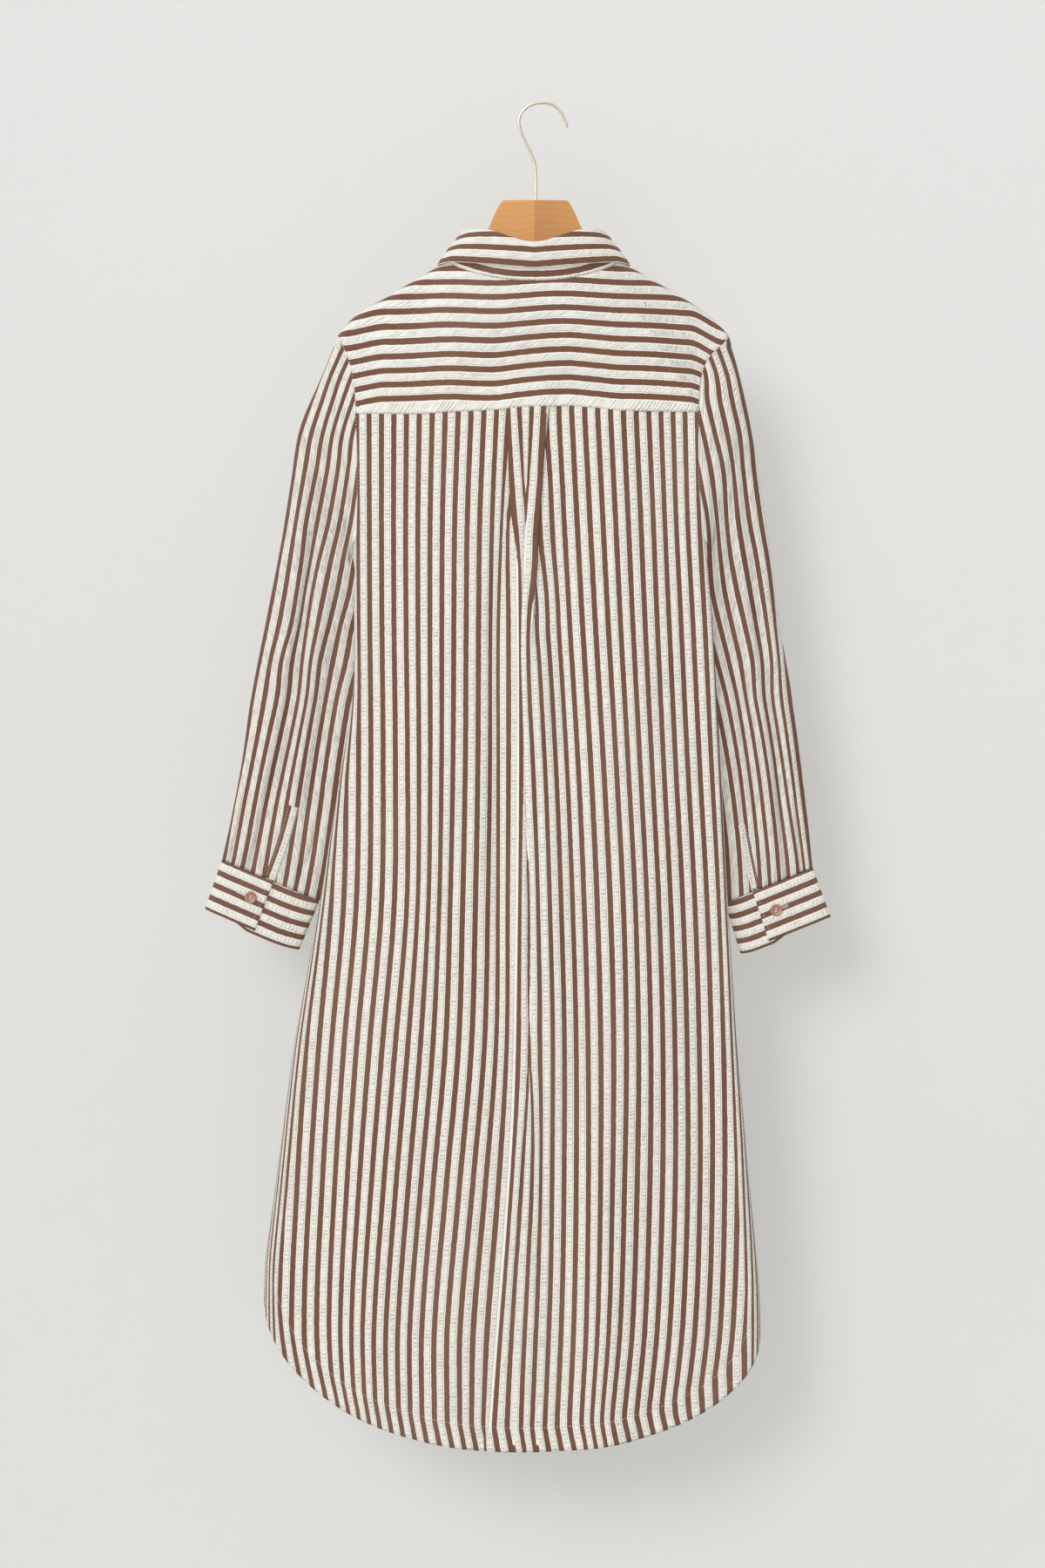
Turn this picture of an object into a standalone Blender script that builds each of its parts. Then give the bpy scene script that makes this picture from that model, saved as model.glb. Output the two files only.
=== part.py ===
"""A striped shirt dress that hangs on a wooden hanger with a wire hook.

The back of the dress faces -Y, +Z is up, and the origin is the underside of the hook's crown,
where a rail would carry it. Sizes below are in millimetres and "drop" is the distance below the
origin. Every cloth piece is a sheet of computed points that a Solidify modifier turns into a wall.
"""

import math
from collections import namedtuple

import bmesh
import bpy
from mathutils import Vector

MM = 0.001

# ---------------------------------------------------------------- driving sizes

CLOTH = 1.0  # wall of a single layer
BAND = 1.5  # wall of collar, cuffs and button bands, which are two layers and an interlining
SEAM = 0.35  # gap that touching pieces keep

CENTRE_X = -8.9  # middle of neck and front
SHOULDER_TIP = 235.0  # drops along the side of the dress
YOKE_SEAM = 310.0
UNDERARM = 445.0
HEM_BACK = 1358.0
HEM_FRONT = 1334.0
HEM_LEFT = 1199.0
HEM_RIGHT = 1240.0
HEM_MIDDLE = 0.53  # where the hem is lowest, from left to right
HEM_ROUND = 2.1  # exponent of the shirt-tail curve

ARCH = 10.0  # radius of the cloth over the hanger's arms
SETTLE = 110.0  # the dress reaches its full depth this far below the shoulder
EDGE_DEPTH = 16.0  # back cloth behind the middle plane at the side folds
BACK_DEPTH = 28.0
BACK_DEPTH_HEM = 42.0
FRONT_DEPTH = 29.0
FRONT_DEPTH_HEM = 42.0
SIDE_FOLD = 6.0  # radius of the side fold at the chest
SIDE_FOLD_HEM = 11.0
FRONT_RAMP = 92.0  # the front cloth leaves the back cloth over this width
FRONT_YOKE = 40.0  # the yoke reaches this far over the shoulder
FRONT_GAP = 1.0  # the fronts start this far below it
SIDE_GAP = 0.5  # from back to front at the side seam
ARMHOLE_GAP = (0.95, 1.2)  # from the armhole to the sleeve at the back and at the front

NECK_HALF = 88.0
NECK_BACK = (182.2, 24.0)  # drop and depth
NECK_SIDE = 166.5
NECK_FRONT = (239.5, 26.0)
STAND_TOP = (147.2, 132.0, 209.5)  # drops at the back, the sides and the front
STAND_TOP_HALF = 70.0
STAND_TOP_BACK = 26.0
STAND_TOP_FRONT = 33.0
COLLAR_STEP = 360.0 / 28  # degrees round the neck from one column to the next
STAND_STEPS = 15  # columns from the middle of the back to an end; the ends lap at the front
FALL_STEPS = 13
FALL_HALF = 97.0
FALL_BACK = (170.7, 30.5)
FALL_SIDE = 159.7
FALL_POINT = 277.0
POINT_HALF = 50.0

PLACKET_HALF = 15.0
PLACKET_STEP = 0.9  # each button band lies this far off the front's middle layer
CUFF_DEPTH = 9.0
CUFF_MIDDLE = 12.0
CUFF_LAP = 22.0  # degrees
CUFF_STEP = 0.95
SLIT_OPEN = 1.3  # half the gap of the sleeve's slit
SLIT_START = 0.875  # where the slit starts along the sleeve
BINDING_WIDTH = 9.0

BUTTON_RADIUS = 5.7
CUFF_BUTTON_RADIUS = 6.2
BUTTON_THICK = 2.2
BUTTON_COUNT = 9

PLEAT_PITCH = 1.7  # from one layer of the pleat to the next

HANGER_X = -7.5
HANGER_HALF = 184.0
HANGER_THICK = 5.3  # half
HANGER_REST = (2.0, 2.6)  # top of the wood below the middle of the cloth, along the arm and at its end
WIRE = 1.5
WIRE_SIDES = 8

# ---------------------------------------------------------------- tables of the form

Edge = namedtuple("Edge", "drop left right")
SIDE_EDGES = (  # where the dress folds at each side, shoulder tip to hem
    Edge(235, -207.0, 189.0),
    Edge(244, -204.0, 184.0),
    Edge(258, -199.0, 171.5),
    Edge(283, -195.0, 162.5),
    Edge(310, -192.0, 161.0),
    Edge(354, -189.8, 160.0),
    Edge(424, -189.2, 162.5),
    Edge(512, -190.0, 170.5),
    Edge(603, -192.0, 176.0),
    Edge(693, -206.5, 181.0),
    Edge(800, -223.5, 186.5),
    Edge(880, -237.5, 191.5),
    Edge(952, -250.5, 196.5),
    Edge(1093, -269.5, 209.0),
    Edge(1163, -279.0, 216.0),
    Edge(1199, -281.5, 219.0),
    Edge(1280, -284.0, 221.5),
)

Ridge = namedtuple("Ridge", "x drop")
SHOULDER = (  # top of the shoulders; between the neck's sides it only steers the cloth below
    Ridge(-216, 246.0),
    Ridge(-207, 235.0),
    Ridge(-200, 226.0),
    Ridge(-187, 213.0),
    Ridge(-161, 198.0),
    Ridge(-126, 179.5),
    Ridge(-96.9, 166.5),
    Ridge(-55, 137.0),
    Ridge(-8.9, 108.0),
    Ridge(37, 137.0),
    Ridge(79.1, 166.5),
    Ridge(107, 177.8),
    Ridge(147, 199.8),
    Ridge(169, 214.7),
    Ridge(189, 235.0),
    Ridge(198, 246.0),
)

Pleat = namedtuple("Pleat", "drop left right tuck_left tuck_right lift")
BOX_PLEAT = (  # the raised face of the box pleat and what is tucked behind its two edges
    Pleat(310, -35.0, 5.5, 17.0, 17.0, 1.0),
    Pleat(355, -34.0, 1.5, 15.5, 15.5, 1.0),
    Pleat(409, -32.0, -2.0, 13.0, 12.0, 1.0),
    Pleat(450, -28.5, -5.5, 10.5, 8.0, 1.0),
    Pleat(508, -22.0, -8.0, 6.5, 4.8, 1.0),
    Pleat(570, -19.5, -8.0, 5.0, 3.5, 1.0),
    Pleat(622, -18.5, -6.0, 5.0, 0.8, 1.0),
    Pleat(675, -17.5, -3.5, 4.7, -6.0, 1.0),
    Pleat(700, -16.5, -2.0, 4.5, -8.0, 1.0),
    Pleat(850, -14.0, 6.0, 3.8, -9.0, 1.0),
    Pleat(940, -13.0, 9.5, 3.5, -12.0, 0.95),
    Pleat(990, -14.0, 11.0, 0.8, -13.0, 0.9),
    Pleat(1042, -15.5, 11.8, -6.0, -13.5, 0.85),
    Pleat(1060, -16.0, 12.0, -9.0, -14.0, 0.8),
    Pleat(1358, -20.0, 14.0, -14.0, -14.0, 0.8),
)

Fold = namedtuple("Fold", "name top top_x bottom bottom_x width height")
BACK_FOLDS = (  # soft folds of the back; a positive height stands out towards -Y
    Fold("left_valley", 380, -47, 900, -47, 15, -4.0),
    Fold("right_valley", 420, 12, 820, 24, 13, -3.0),
    Fold("left_hem_ridge", 820, -70, 1400, -92, 26, 3.5),
    Fold("middle_hem_valley", 950, 14, 1400, 18, 20, -3.5),
    Fold("middle_hem_ridge", 950, 52, 1400, 60, 22, 3.5),
    Fold("right_hem_valley", 900, 104, 1400, 108, 28, -3.0),
    Fold("side_hem_ridge", 700, -160, 1400, -196, 30, 3.0),
)
FRONT_FOLDS = (  # here a positive height stands out towards +Y
    Fold("left_drape", 420, -110, 1400, -150, 26, 5.0),
    Fold("left_hollow", 620, -66, 1400, -92, 22, -4.0),
    Fold("right_drape", 420, 84, 1400, 110, 26, 5.0),
    Fold("right_hollow", 640, 40, 1400, 58, 22, -4.0),
)

Ring = namedtuple("Ring", "along outer_x outer_drop inner_x inner_drop middle_y depth")
LEFT_SLEEVE = (  # outer and inner edge of the flattened sleeve, armhole to cuff
    Ring(0.00, -207.0, 235.0, -189.3, 445.0, 2.0, 15.0),
    Ring(0.10, -221.5, 271.0, -189.0, 461.0, 5.0, 14.5),
    Ring(0.22, -246.0, 327.0, -183.0, 484.0, 10.0, 14.0),
    Ring(0.34, -256.0, 384.0, -176.0, 510.0, 14.0, 14.0),
    Ring(0.46, -266.0, 445.0, -172.5, 542.0, 16.0, 14.0),
    Ring(0.58, -279.0, 512.0, -172.0, 578.0, 16.5, 14.0),
    Ring(0.72, -296.5, 602.0, -176.0, 642.0, 16.5, 14.0),
    Ring(0.84, -306.0, 668.0, -189.0, 706.0, 16.0, 14.0),
    Ring(0.93, -317.0, 727.0, -206.0, 762.0, 14.0, 12.5),
    Ring(1.00, -325.6, 766.5, -227.4, 807.8, CUFF_MIDDLE, CUFF_DEPTH),
)
RIGHT_SLEEVE = (
    Ring(0.00, 189.0, 235.0, 163.7, 445.0, 2.0, 15.0),
    Ring(0.10, 198.5, 269.0, 164.0, 461.0, 5.0, 14.5),
    Ring(0.22, 210.5, 321.0, 160.0, 484.0, 10.0, 14.0),
    Ring(0.34, 219.5, 373.0, 155.5, 510.0, 14.0, 14.0),
    Ring(0.46, 229.5, 435.0, 152.5, 542.0, 16.0, 14.0),
    Ring(0.58, 238.5, 509.0, 152.5, 578.0, 16.5, 14.0),
    Ring(0.72, 256.0, 611.0, 156.0, 648.0, 16.5, 14.0),
    Ring(0.84, 266.0, 685.0, 165.0, 718.0, 16.0, 14.0),
    Ring(0.93, 271.0, 736.0, 175.5, 770.0, 14.0, 12.5),
    Ring(1.00, 274.6, 774.4, 186.3, 809.6, CUFF_MIDDLE, CUFF_DEPTH),
)

Cuff = namedtuple("Cuff", "outer_x outer_drop inner_x inner_drop lap_angle button_across button_down")
CUFFS = {  # the lower corners of each cuff, and where it laps and buttons on its back
    -1: Cuff(-342.8, 816.6, -247.8, 857.1, 93.0, 0.386, 0.44),
    1: Cuff(293.0, 824.3, 201.8, 860.1, 110.0, 0.517, 0.49),
}

Crease = namedtuple("Crease", "name start stop across_start across_stop width height")
LEFT_CREASES = (  # folds on the back of the sleeve; across runs from 1 at its outer edge to -1
    Crease("outer_ridge", 0.18, 0.97, 0.62, 0.52, 0.20, 4.0),
    Crease("middle_valley", 0.30, 0.98, 0.36, 0.24, 0.13, -4.5),
    Crease("slit_ridge", 0.34, 0.97, 0.10, 0.02, 0.14, 4.0),
    Crease("inner_valley", 0.45, 0.95, -0.24, -0.22, 0.18, -3.5),
)
RIGHT_CREASES = (
    Crease("long_ridge", 0.20, 0.98, 0.30, 0.22, 0.15, 4.0),
    Crease("long_valley", 0.30, 0.98, -0.02, -0.02, 0.15, -4.5),
    Crease("outer_valley", 0.45, 0.97, 0.56, 0.48, 0.12, -3.5),
    Crease("outer_ridge", 0.45, 0.97, 0.78, 0.76, 0.12, 2.5),
)

Wire = namedtuple("Wire", "run x drop")
HOOK = (  # middle of the wire, from the wood to its rounded tip
    Wire(0, -6.6, 97.4),
    Wire(1, -6.6, 80.0),
    Wire(2, -7.0, 66.0),
    Wire(3, -9.5, 54.5),
    Wire(4, -15.0, 42.0),
    Wire(5, -21.0, 30.0),
    Wire(6, -23.8, 19.0),
    Wire(7, -21.6, 9.5),
    Wire(8, -15.0, 2.6),
    Wire(9, -8.0, -0.5),
    Wire(10, 0.0, -1.5),
    Wire(11, 8.0, -0.5),
    Wire(12, 14.0, 3.0),
    Wire(13, 19.5, 9.5),
    Wire(14, 23.2, 17.0),
    Wire(15, 25.0, 22.0),
)

Timber = namedtuple("Timber", "across top bottom round")
HANGER = (  # outline of the wood from its middle outwards, by distance from the centre line
    Timber(0.0, 97.7, 186.0, 2.0),
    Timber(30.0, 97.9, 187.0, 2.0),
    Timber(33.2, 98.8, 187.3, 2.0),
    Timber(36.0, 102.5, 187.6, 2.0),
    Timber(40.0, 110.0, 188.2, 2.2),
    Timber(49.2, 131.0, 190.2, 3.0),
    Timber(62.0, 150.5, 193.5, 4.5),
    Timber(76.0, 164.5, 197.5, 5.5),
)
HANGER_TIP = (18.0, 0.45)  # height of the wood near its ends, and what is left of it at the very end


# ---------------------------------------------------------------- small mathematics


def smooth(t):
    """0 to 1 with level ends."""
    t = min(1.0, max(0.0, t))
    return t * t * (3.0 - 2.0 * t)


def mix(a, b, t):
    return a + (b - a) * t


def read(rows, key, column):
    """A named column at a key, on a smooth curve through the rows, which rise by their first column."""
    keys = [row[0] for row in rows]
    values = [getattr(row, column) for row in rows]
    if key <= keys[0]:
        return values[0]
    if key >= keys[-1]:
        return values[-1]
    i = max(n for n in range(len(keys) - 1) if keys[n] <= key)

    def slope(n):
        low, high = max(0, n - 1), min(len(keys) - 1, n + 1)
        return (values[high] - values[low]) / (keys[high] - keys[low])

    span = keys[i + 1] - keys[i]
    t = (key - keys[i]) / span
    start = (1 + 2 * t) * (1 - t) ** 2 * values[i] + t * (1 - t) ** 2 * span * slope(i)
    stop = t * t * (3 - 2 * t) * values[i + 1] + t * t * (t - 1) * span * slope(i + 1)
    return start + stop


def power(value, exponent):
    """A signed power, for the flattened rings."""
    return math.copysign(abs(value) ** exponent, value)


def steps(count):
    return [n / count for n in range(count + 1)]


# ---------------------------------------------------------------- the form of the body


def edge(side, drop):
    """X of the side fold, -1 for the left and 1 for the right."""
    return read(SIDE_EDGES, drop, "left" if side < 0 else "right")


def ridge(x):
    return read(SHOULDER, x, "drop")


def low(drop):
    """0 at the yoke seam and 1 at the hem."""
    return min(1.0, max(0.0, (drop - YOKE_SEAM) / (HEM_BACK - YOKE_SEAM)))


def side_radius(drop):
    return mix(SIDE_FOLD, SIDE_FOLD_HEM, smooth((low(drop) - 0.35) / 0.65))


def folds(table, x, drop):
    """Height of the soft folds at one place."""
    total = 0.0
    for fold in table:
        t = (drop - fold.top) / (fold.bottom - fold.top)
        if t <= 0.0:
            continue
        away = (x - mix(fold.top_x, fold.bottom_x, t)) / fold.width
        fade = smooth(t * 3.0) * (1.0 if fold.bottom > HEM_BACK else smooth((1.0 - t) * 3.0))
        total += fold.height * math.exp(-away * away) * fade
    return total


def settled(full, x, drop):
    """Depth of the cloth, which starts from the arch over the shoulder."""
    return ARCH + (full - ARCH) * smooth((drop - ridge(x) - ARCH) / SETTLE)


def back_y(x, drop):
    """Y of the middle of the back cloth."""
    left, right = edge(-1, drop), edge(1, drop)
    half = (right - left) / 2
    inward = 1.0 - abs(x - (left + right) / 2) / half
    middle = mix(BACK_DEPTH, BACK_DEPTH_HEM, low(drop))
    full = EDGE_DEPTH + (middle - EDGE_DEPTH) * smooth(inward / 0.6)
    below = drop - ridge(x)
    if below < ARCH:
        return -math.sqrt(max(0.0, ARCH**2 - (ARCH - max(0.0, below)) ** 2))
    return -settled(full, x, drop) - folds(BACK_FOLDS, x, drop) * smooth(inward / 0.15)


def front_level(drop):
    """Y where the front cloth starts at its side edge."""
    under = -EDGE_DEPTH + 2 * side_radius(drop)
    return mix(15.0, under, smooth((drop - YOKE_SEAM) / (UNDERARM - YOKE_SEAM)))


def front_edge(side, drop):
    inset = 3.5 * math.sin(math.pi * smooth((UNDERARM - drop) / (UNDERARM - SHOULDER_TIP)))
    return edge(side, drop) - side * inset


def front_y(x, drop):
    """Y of the middle of the front cloth."""
    side = -1 if x < CENTRE_X else 1
    start = front_edge(side, drop) - side * side_radius(drop)
    level = front_level(drop)
    middle = mix(FRONT_DEPTH, FRONT_DEPTH_HEM, low(drop))
    inward = max(0.0, (start - x) * side)
    full = level + (middle - level) * smooth(inward / FRONT_RAMP)
    below = drop - ridge(x)
    if below < ARCH:
        return math.sqrt(max(0.0, ARCH**2 - (ARCH - max(0.0, below)) ** 2))
    return settled(full, x, drop) + folds(FRONT_FOLDS, x, drop) * smooth(inward / 30.0)


def hem_drop(x, bottom):
    """Shirt-tail curve: level in the middle, upright at the side seams."""
    left, right = edge(-1, HEM_RIGHT), edge(1, HEM_RIGHT)
    across = min(1.0, max(0.0, (x - left) / (right - left)))
    if across < HEM_MIDDLE:
        side, away = HEM_LEFT, 1.0 - across / HEM_MIDDLE
    else:
        side, away = HEM_RIGHT, (across - HEM_MIDDLE) / (1.0 - HEM_MIDDLE)
    return side + (bottom - side) * (1.0 - away**HEM_ROUND) ** (1.0 / HEM_ROUND)


def seam_drop(x):
    """The yoke seam, a little higher in its middle."""
    return YOKE_SEAM - 3.6 + 4.2 * ((x + 12.0) / 180.0) ** 2


def armhole_round(drop):
    """1 where the armhole is straight and 0 at its rounded bottom."""
    t = min(1.0, max(0.0, (drop - YOKE_SEAM) / (UNDERARM - YOKE_SEAM)))
    return math.sqrt(1.0 - t**4)


def back_wrap(drop):
    """How far the back turns round the side fold, in radians: a quarter at the underarm."""
    return math.radians(90.0 - 62.0 * armhole_round(drop))


def front_wrap(drop):
    """Where the front starts round the side fold."""
    return math.radians(90.0 + 60.0 * armhole_round(drop))


def back_side(side, drop, angle):
    """A point of the back on the side fold: 0 is the flat back, 90 degrees the extreme edge."""
    radius = side_radius(drop)
    x = edge(side, drop) - side * radius * (1.0 - math.sin(angle))
    start = back_y(edge(side, drop) - side * radius, drop)
    return Vector((x, start + radius * (1.0 - math.cos(angle)), -drop))


def front_side(side, drop, angle):
    """A point of the front on the side fold: 180 degrees is where it leaves for the middle."""
    radius = side_radius(drop)
    x = front_edge(side, drop) - side * radius * (1.0 - math.sin(angle))
    stop = front_y(front_edge(side, drop) - side * radius, drop)
    return Vector((x, stop - radius * (1.0 + math.cos(angle)), -drop))


# ---------------------------------------------------------------- neck and yoke


def neck(turn):
    """The neck seam; turn is 0 at the middle of the back and 180 degrees at the front."""
    angle = math.radians(turn)
    x = CENTRE_X + NECK_HALF * math.sin(angle)
    if math.cos(angle) >= 0.0:
        drop = NECK_BACK[0] - (NECK_BACK[0] - NECK_SIDE) * math.sin(angle) ** 2
        y = -NECK_BACK[1] * math.cos(angle)
    else:
        drop = NECK_SIDE + (NECK_FRONT[0] - NECK_SIDE) * math.cos(angle) ** 2
        y = -NECK_FRONT[1] * math.cos(angle)
    return Vector((x, y, -drop))


def over_shoulder(x, reach):
    """A point of the yoke by X and its distance over the ridge, positive to the back."""
    angle = abs(reach) / ARCH
    side = 1.0 if reach >= 0.0 else -1.0
    if angle <= math.pi / 2:
        y = -side * ARCH * math.sin(angle)
        return Vector((x, y, -(ridge(x) + ARCH * (1.0 - math.cos(angle)))))
    drop = ridge(x) + ARCH + abs(reach) - ARCH * math.pi / 2
    return Vector((x, back_y(x, drop) if side > 0 else front_y(x, drop), -drop))


def reach_of(x, drop, side):
    """Distance over the ridge of a place on the back (1) or front (-1)."""
    below = max(0.0, drop - ridge(x))
    if below <= ARCH:
        return side * ARCH * math.acos(1.0 - below / ARCH)
    return side * (ARCH * math.pi / 2 + below - ARCH)


def neck_reach(turn):
    point = neck(turn)
    return reach_of(point.x, -point.z, 1 if abs(turn) <= 90.0 else -1)


def neck_turn_at(reach):
    """The turn of the neck seam whose distance over the ridge is the one given."""
    low_turn, high_turn = 0.0, 175.0
    for _ in range(40):
        middle = (low_turn + high_turn) / 2
        if neck_reach(middle) > reach:
            low_turn = middle
        else:
            high_turn = middle
    return low_turn


def front_corner(side):
    """Where the yoke's front seam meets the armhole."""
    low_drop, high_drop = SHOULDER_TIP, YOKE_SEAM
    for _ in range(40):
        middle = (low_drop + high_drop) / 2
        point = front_side(side, middle, front_wrap(middle))
        if reach_of(point.x, middle, -1) > -FRONT_YOKE:
            low_drop = middle
        else:
            high_drop = middle
    return front_side(side, low_drop, front_wrap(low_drop))


def back_corner(side):
    """Where the yoke's back seam meets the armhole."""
    point = back_side(side, YOKE_SEAM, back_wrap(YOKE_SEAM))
    return back_side(side, seam_drop(point.x), back_wrap(YOKE_SEAM))


BACK_UPPER = (0.0, 0.3, 0.58, 0.82, 1.0)  # rows of the back from the yoke seam to the underarm
FRONT_UPPER = (0.0, 0.22, 0.44, 0.66, 0.85, 1.0)


def side_gap_share(drop):
    return smooth((drop - UNDERARM + 60.0) / 60.0)


def back_edge_point(side, drop):
    return back_side(side, drop, back_wrap(drop))


def front_edge_point(side, drop):
    return front_side(side, drop, front_wrap(drop)) + Vector((0.0, SIDE_GAP * side_gap_share(drop), 0.0))


def on_edge(side, drop, top, upper, edge_point):
    """A point on the straight runs between the rows of a panel's armhole edge."""
    drops = [mix(top, UNDERARM, share) for share in upper]
    n = max([m for m in range(len(drops) - 1) if drops[m] <= drop] or [0])
    first, second = edge_point(side, drops[n]), edge_point(side, drops[n + 1])
    return first.lerp(second, (drop - drops[n]) / (drops[n + 1] - drops[n]))


def armhole(side, turn):
    """The armhole seam: 0 at the shoulder tip, 180 degrees at the underarm, back first."""
    drop = SHOULDER_TIP + (UNDERARM - SHOULDER_TIP) * (1.0 - math.cos(math.radians(turn))) / 2
    if turn <= 180.0:
        corner = back_corner(side)
        if drop >= SEAM - corner.z:
            return on_edge(side, drop, SEAM - corner.z, BACK_UPPER, back_edge_point)
    else:
        corner = front_corner(side)
        if drop >= FRONT_GAP - corner.z:
            return on_edge(side, drop, FRONT_GAP - corner.z, FRONT_UPPER, front_edge_point)
    t = (drop - SHOULDER_TIP) / (-corner.z - SHOULDER_TIP)
    if turn > 180.0:
        x = mix(front_edge(side, drop), corner.x, smooth(t))
        own = front_y(x, drop)
        return Vector((x, own + (corner.y - front_y(corner.x, -corner.z)) * smooth(t), -drop))
    x = mix(edge(side, drop), corner.x, smooth(t))
    own = back_y(x, drop)
    return Vector((x, own + (corner.y - back_y(corner.x, -corner.z)) * smooth(t), -drop))


def corner_turn(corner):
    """The armhole's turn at a drop."""
    share = (-corner.z - SHOULDER_TIP) / (UNDERARM - SHOULDER_TIP)
    return math.degrees(math.acos(1.0 - 2.0 * share))


SHOULDER_TURNS_FRONT = (27.0, 18.0, 9.0)
SHOULDER_TURNS_BACK = (0.0, 9.0, 18.0, 30.0, 45.0, 60.0)
SEAM_COLUMNS = 15
NECK_CORNER = 60.0  # turn of the neck opposite the yoke's lower corners
YOKE_ROWS = 7


def yoke_half(side):
    """Columns from the front seam over the shoulder to the corner: (turn of the neck, armhole point)."""
    columns = [(side * neck_turn_at(-FRONT_YOKE), front_corner(side))]
    for turn in SHOULDER_TURNS_FRONT:
        point = armhole(side, 360.0 - turn)
        columns.append((side * neck_turn_at(reach_of(point.x, -point.z, -1)), point))
    corner = back_corner(side)
    for turn in SHOULDER_TURNS_BACK:
        columns.append((side * mix(90.0, NECK_CORNER, turn / corner_turn(corner)), armhole(side, turn)))
    return columns


def seam_lift(x):
    """The yoke's seam rides on the middle of the pleat's stack."""
    left, right = BOX_PLEAT[0].left, BOX_PLEAT[0].right
    away = abs(x - (left + right) / 2) - (right - left) / 2
    return PLEAT_PITCH * (1.0 - smooth(away / 14.0))


def yoke_column(neck_turn, target):
    """Points from the neck seam out to a point of the armhole or of the back seam."""
    start = neck(neck_turn)
    begin = neck_reach(neck_turn)
    side = -1 if target.y > 0.0 else 1
    end = reach_of(target.x, -target.z, side)
    own_start = over_shoulder(start.x, begin)
    own_end = over_shoulder(target.x, end)
    points = []
    for out in steps(YOKE_ROWS):
        point = over_shoulder(mix(start.x, target.x, out), mix(begin, end, out))
        point += (start - own_start) * (1.0 - smooth(out / 0.6))
        point += (target - own_end) * smooth((out - 0.6) / 0.4)
        points.append(point)
    return points


def yoke_rows():
    """Sheet of the yoke: rows from the neck seam out to the armholes and the back seam."""
    columns = yoke_half(-1)
    left, right = back_corner(-1), back_corner(1)
    columns.append((-NECK_CORNER, left))
    for t in steps(SEAM_COLUMNS)[1:-1]:
        x = mix(left.x, right.x, t)
        drop = seam_drop(x)
        target = Vector((x, back_y(x, drop) - seam_lift(x), -drop))
        columns.append((mix(-NECK_CORNER, NECK_CORNER, t), target))
    columns.append((NECK_CORNER, right))
    columns.extend(reversed(yoke_half(1)))
    lines = [yoke_column(turn, target) for turn, target in columns]
    return [list(row) for row in zip(*lines)]


def yoke_front_seam(side):
    """The yoke's front seam from the neck to the armhole."""
    return yoke_column(side * neck_turn_at(-FRONT_YOKE), front_corner(side))


# ---------------------------------------------------------------- back with its box pleat


def pleat_points(drop):
    """Cross-section of the pleat, as (x, lift): side panel, tuck, face, tuck, side panel."""
    left = read(BOX_PLEAT, drop, "left")
    right = read(BOX_PLEAT, drop, "right")
    lift = read(BOX_PLEAT, drop, "lift") * PLEAT_PITCH

    def half(name, x, sign):
        tuck = read(BOX_PLEAT, drop, name)
        closed = smooth((tuck + 2.0) / 5.5)
        under = max(tuck, 0.0)
        return [
            (x - sign * mix(18.0, 10.0, closed), 0.0),
            (x + sign * mix(-9.5, under, closed), 0.0),
            (x + sign * mix(-6.5, under, closed), lift * mix(0.67, 1.0, closed)),
            (x + sign * mix(-3.5, 0.0, closed), lift * mix(1.33, 1.0, closed)),
            (x, 2.0 * lift),
        ]

    first = half("tuck_left", left, 1.0)
    last = half("tuck_right", right, -1.0)
    face_left, face_right = first[-1][0], last[-1][0]
    face = [(mix(face_left, face_right, t), 2.0 * lift) for t in (0.25, 0.5, 0.75)]
    return first + face + last[::-1]


LOWER_ROWS = 17
BACK_LEFT = 9
BACK_RIGHT = 8
SIDE_STEPS = 3
UPPER_SHARE = 0.15  # part of a column's length that lies above the underarm
UPPER_SHARE_FRONT = 0.20


def row_share(n, upper, upper_share):
    """How far down a column row n lies; upper lists the rows above the underarm."""
    last = len(upper) - 1
    if n <= last:
        return upper_share * upper[n]
    return mix(upper_share, 1.0, (n - last) / LOWER_ROWS)


def seam_side_drop(side, top, n, upper):
    """Drops along an armhole edge and its side seam, with one row right at the underarm."""
    last = len(upper) - 1
    if n <= last:
        return mix(top, UNDERARM, upper[n])
    stop = HEM_LEFT if side < 0 else HEM_RIGHT
    return mix(UNDERARM, stop, (n - last) / LOWER_ROWS)


def fold_hem_drop(side, angle, bottom):
    """Hem on a column of the side fold."""
    return hem_drop(edge(side, HEM_RIGHT) - side * SIDE_FOLD_HEM * (1.0 - math.sin(angle)), bottom)


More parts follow.
